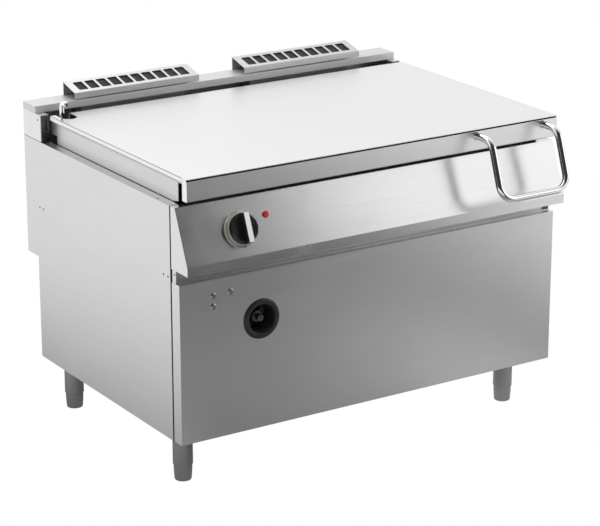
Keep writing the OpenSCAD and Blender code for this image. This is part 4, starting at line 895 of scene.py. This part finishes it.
# %% Flue screens
SCREEN, FRONT_RISE, REAR_SINK, END_GAP, SIDE_GAP = 0.0012, 0.0140, 0.0070, 0.006, 0.004
for side in ("left", "right"):
    hood_low, hood_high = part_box(side + "_flue_hood")
    front, front_z = hood_low.y + END_GAP, hood_low.z + FRONT_RISE
    rear, rear_z = hood_high.y - END_GAP, hood_high.z - REAR_SINK
    outline = [(front, front_z), (rear, rear_z), (rear, rear_z + SCREEN), (front, front_z + SCREEN)]
    screen = extrude(side + "_flue_screen", outline, hood_low.x + SIDE_GAP, hood_high.x - SIDE_GAP)
    paint(screen, painted_shade)
    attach(screen, "cabinet")
print("two screens")

# %% [markdown]
# The guide slots beside the lid are black in the photograph as well. A thin sooty
# A thin near-black sheet lies at the bottom of each slot: painted shade.

# %% Slot shadows
SLOT_INSET, SLOT_HALF, SLOT_FOOT, SLOT_HEAD = 0.0144, 0.0048, 0.022, 0.006
plate_low, plate_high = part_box("hinge_guide_plates")
for side, label in ((-1, "left"), (1, "right")):
    slot_x = side * (plate_high.x - SLOT_INSET)
    low = (slot_x - SLOT_HALF, plate_high.y - 0.0008, plate_low.z + SLOT_FOOT)
    high = (slot_x + SLOT_HALF, plate_high.y - 0.0002, plate_high.z - SLOT_HEAD)
    shadow = block("slot_shadow_" + label, low, high)
    paint(shadow, painted_shade)
    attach(shadow, "cabinet")
print("two slot shadows")

# %% [markdown]
# Each small hole in the side sheets and in the columns holds a threaded insert, seen as a dark ring. Its
# near-black is painted shade, the dark of the hole behind it. One list of places makes them all.

# %% Threaded inserts, black as painted hole shade
INSERT_X, SIDE_HOLES_Z = 0.5992, 0.596
SIDE_HOLES_Y, COLUMN_HOLE = (-0.30041, -0.27741, 0.39309, 0.41609), (0.41159, 0.848)
insert_places = [(y, SIDE_HOLES_Z) for y in SIDE_HOLES_Y] + [COLUMN_HOLE]
insert_shape = [(0, -0.0010), (0.0016, -0.0010), (0.0018, 0.0), (0.0029, 0.0), (0.0029, -0.004), (0, -0.004)]
shaded_inserts = []
for side in (-1, 1):
    for y, z in insert_places:
        seat = frame_at(Vector((side * INSERT_X, y, z)), UPWARD, Vector((side, 0, 0)))
        shaded_inserts.append(lathe("insert", insert_shape, seat, 20))
shaded_inserts = join("hole_shade_inserts", shaded_inserts)
paint(shaded_inserts, painted_shade)
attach(shaded_inserts, "cabinet")
print(len(insert_places) * 2, "threaded inserts")

# %% [markdown]
# ## Bolts and nuts
# One hexagon head with its washer is modelled once, and every bolt uses the same
# mesh. Two loops put one bolt at each corner of the gearbox's front.

# %% A hexagon bolt
def hexagon(radius, height):
    washer = [(0, 0), (radius * 1.45, 0), (radius * 1.45, 0.0012), (radius * 0.9, 0.0014), (0, 0.0014)]
    head = [(0, 0.0012), (radius, 0.0012), (radius, height - 0.0012), (radius * 0.86, height), (0, height)]
    pattern = join("hexagon_bolt", [lathe("washer", washer, None, 24), lathe("head", head, None, 6)])
    mesh = pattern.data
    mesh.shade_flat()
    bpy.data.objects.remove(pattern)
    return mesh


bolt_mesh = hexagon(radius=0.005, height=0.005)
bolt_mesh.materials.append(gear_steel)
print("bolt with", len(bolt_mesh.polygons), "faces")

# %% Bolts on the gearbox
BOLT_INSET, TOP_INSET, BOLT_SEAT = 0.010, 0.0175, 0.0076
count = 0
box_low, box_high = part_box("gearbox")
for x in (box_low.x + BOLT_INSET, box_high.x - BOLT_INSET):
    for z in (box_low.z + BOLT_INSET, box_high.z - TOP_INSET):
        piece = new_object("gearbox_bolt_%d" % count, bolt_mesh)
        piece.matrix_world = frame_at(Vector((x, box_low.y + BOLT_SEAT, z)), UPWARD, FACE_OUT)
        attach(piece, "cabinet")
        count += 1
print(count, "bolts on the gearbox")

# %% [markdown]
# Button-head screws hold the lower back panel. They are turned shapes with a
# recess in the middle, and all of them form one piece.

# %% Screws of the back panel
SCREWS_X, SCREW_INSET = (-0.585, -0.2, 0.2, 0.585), 0.015
back_low, back_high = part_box("lower_back_panel")
rows_z = (back_low.z + SCREW_INSET, back_high.z - SCREW_INSET)
screw_places = [(x, back_high.y, z) for x in SCREWS_X for z in rows_z]
screw_shape = [(0, -0.0006), (0.0014, -0.0006), (0.0016, 0.0018), (0.0026, 0.0017), (0.0038, 0.0008),
               (0.0041, 0)]
screws = [lathe("screw", screw_shape, frame_at(Vector(place), UPWARD, FACE_BACK), 24) for place in screw_places]
screws = join("back_panel_screws", screws)
paint(screws, gear_steel)
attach(screws, "cabinet")
print(len(screw_places), "screws")

# %% [markdown]
# A small weld bead runs round the top of each leg, under the cabinet's floor.

# %% Weld beads on the legs
bead_shape = [(0.0268, -0.0030), (0.0278, -0.0024), (0.0292, -0.0010), (0.0298, 0), (0.0268, 0)]
leg_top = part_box("leg_tubes")[1].z
beads = []
for foot in FEET:
    spot = middle(foot)
    beads.append(lathe("bead", bead_shape, Matrix.Translation((spot.x, spot.y, leg_top)), 48))
beads = join("leg_weld_beads", beads)
paint(beads, steel_legs)
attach(beads, "cabinet")
print(len(beads.data.polygons), "faces of weld bead")

# %% [markdown]
# A brass locknut holds each inlet to the back panel.

# %% Locknuts at the back
for label, node, radius in (("gas", "gas_inlet", 0.0235), ("water", "water_inlet", 0.0200)):
    centre = middle(node)
    seat = frame_at(Vector((centre.x, back_high.y + 0.0003, centre.z)), UPWARD, FACE_BACK)
    nut_shape = [(0.009, 0.0), (radius, 0.0), (radius, 0.0075), (radius * 0.88, 0.009), (0.009, 0.009)]
    nut = lathe(label + "_locknut", nut_shape, seat, 6)
    nut.data.shade_flat()
    paint(nut, brass)
    soften(nut, EDGE, 2)
    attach(nut, "cabinet")
print("two locknuts")

# %% [markdown]
# ## Studio
# The floor and the surroundings look pure white to the camera, as they do in
# the photograph. To every other ray they are softly graded, because a steel
# panel only looks like steel when it has something light and something dark to
# mirror.

# %% White for the camera only
WHITE = (1, 1, 1, 1)


def white_to_camera(tree, kind, colour, output):
    """The camera sees plain white, and every other ray gets the colour."""
    seen = add(tree, kind, {"Color": WHITE, "Strength": 1.0})
    felt = add(tree, kind, {"Color": colour, "Strength": 1.0})
    path = add(tree, "LightPath")
    either = add(tree, "MixShader", {0: path.outputs["Is Camera Ray"], 1: felt, 2: seen})
    add(tree, output, {0: either})


print("white helper ready")

# %% [markdown]
# The floor glows with these tones for every ray but the camera's: bright at the left, nearly black in front of
# the machine and bright again at the right. `lift` adds a lighter strip before the right half, and
# `shadow_patch` is a painted shadow round the left front of the machine, where it shades the floor. The panels
# mirror these tones.

# %% Floor
HALF = 9
floor_points = [(-HALF, -HALF, 0), (HALF, -HALF, 0), (HALF, HALF, 0), (-HALF, HALF, 0)]
floor = mesh_object("floor", floor_points, [(0, 1, 2, 3)])
floor_mat = bpy.data.materials.new("Studio floor")
floor_mat.use_nodes = True
tree = floor_mat.node_tree
tree.nodes.clear()
spot = add(tree, "TexCoord").outputs["Object"]
where = add(tree, "SeparateXYZ", {0: spot})
slanted = calc(tree, "MULTIPLY_ADD", where.outputs["Y"], 0.12, where.outputs["X"])
across = remap(tree, slanted, -3.0, 4.0)
tones = [(0.30, 0.92), (0.375, 0.20), (0.457, 0.04), (0.505, 0.06), (0.557, 0.20), (0.602, 0.46), (0.640, 0.95)]
shade = grade(tree, across, [(position, grey(tone)) for position, tone in tones])
near = remap(tree, where.outputs["Y"], -1.9, -1.0, 0.0, 0.48)
along = remap(tree, where.outputs["X"], -1.0)
tones = [(0.35, 0.15), (0.55, 0.45), (0.74, 1.0), (0.86, 1.0), (0.97, 0.30)]
strip = grade(tree, along, [(position, grey(tone)) for position, tone in tones])
lift = calc(tree, "MULTIPLY", strip, near, kind="VectorMath")
lifted = calc(tree, "ADD", shade, lift, kind="VectorMath")
# painted shadow: darker round the machine's left front, where it shades the floor
squashed = calc(tree, "MULTIPLY", spot, (2.0, 0.6, 0.0), kind="VectorMath")
corner = calc(tree, "DISTANCE", squashed, (-1.6, -0.18, 0.0), kind="VectorMath")
shadow_patch = remap(tree, corner.outputs["Value"], 0.0, 1.65, 0.45)
dimmed = calc(tree, "MULTIPLY", lifted, shadow_patch, kind="VectorMath")
white_to_camera(tree, "Emission", dimmed, "OutputMaterial")
paint(floor, floor_mat)
print("floor laid")

# %% [markdown]
# The world is nearly black at the front left and bright behind the machine.

# %% World
world = bpy.data.worlds.new("Studio")
bpy.context.scene.world = world
world.use_nodes = True
tree = world.node_tree
tree.nodes.clear()
ray = add(tree, "TexCoord").outputs["Generated"]
front_left = calc(tree, "DOT_PRODUCT", ray, (-0.35, -0.94, 0.0), kind="VectorMath")
toward = remap(tree, front_left.outputs["Value"], -1.0, 1.0)
shade = grade(tree, toward, [(0.42, grey(0.95)), (0.74, grey(0.04))])
white_to_camera(tree, "Background", shade, "OutputWorld")
print("world ready")

# %% [markdown]
# Four large area lamps give soft light. The one over the lid would show in the
# lid as a bright patch, so it is hidden from reflections.

# %% Lamps
def lamp(name, place, aim, width, height, power):
    light = bpy.data.lights.new(name, "AREA")
    light.shape = "RECTANGLE"
    light.size, light.size_y, light.energy = width, height, power
    holder = bpy.data.objects.new(name, light)
    bpy.context.scene.collection.objects.link(holder)
    holder.location = place
    holder.rotation_euler = (Vector(aim) - Vector(place)).to_track_quat("-Z", "Y").to_euler()
    return holder


lamp("Soft box, right front", (2.55, -2.46, 2.0), (0.1, 0, 0.8), 2.4, 1.9, 17)
lamp("Soft box, above", (-0.4, 1.2, 3.0), (0, 0, 0.7), 2.4, 1.6, 18)
lamp("Soft box, left", (-3.2, 0.8, 1.6), (-0.4, 0, 0.5), 1.6, 1.6, 10)
over_lid = lamp("Soft box, over the lid", (0.15, -0.7, 1.6), (0.15, 0.43, 0.89), 1.8, 0.8, 9)
over_lid.visible_glossy = False
print(len(bpy.data.lights), "soft boxes")

# %% [markdown]
# ## Camera
# The camera stands where the photographer's stood. Its place, lens and aim come
# from fitting known points of the machine to the same points in the picture.

# %% Camera
AZIMUTH, ELEVATION, DISTANCE = math.radians(-32.74), math.radians(18.32), 6.636
TARGET, LENS, SENSOR = Vector((-0.005, 0.005, 0.441)), 142.68, 36.0
back = Vector((math.sin(AZIMUTH) * math.cos(ELEVATION), -math.cos(AZIMUTH) * math.cos(ELEVATION),
               math.sin(ELEVATION)))
camera_data = bpy.data.cameras.new("Camera")
camera_data.lens, camera_data.sensor_width = LENS, SENSOR
camera = bpy.data.objects.new("Camera", camera_data)
bpy.context.scene.collection.objects.link(camera)
camera.location = TARGET + back * DISTANCE
camera.rotation_euler = (-back).to_track_quat("-Z", "Y").to_euler()
scene = bpy.context.scene
scene.camera = camera
scene.render.resolution_x, scene.render.resolution_y = 600, 526
scene.render.engine = "CYCLES"
scene.cycles.samples = 96
scene.view_settings.view_transform = "Standard"
print("camera at", tuple(round(v, 3) for v in camera.location))
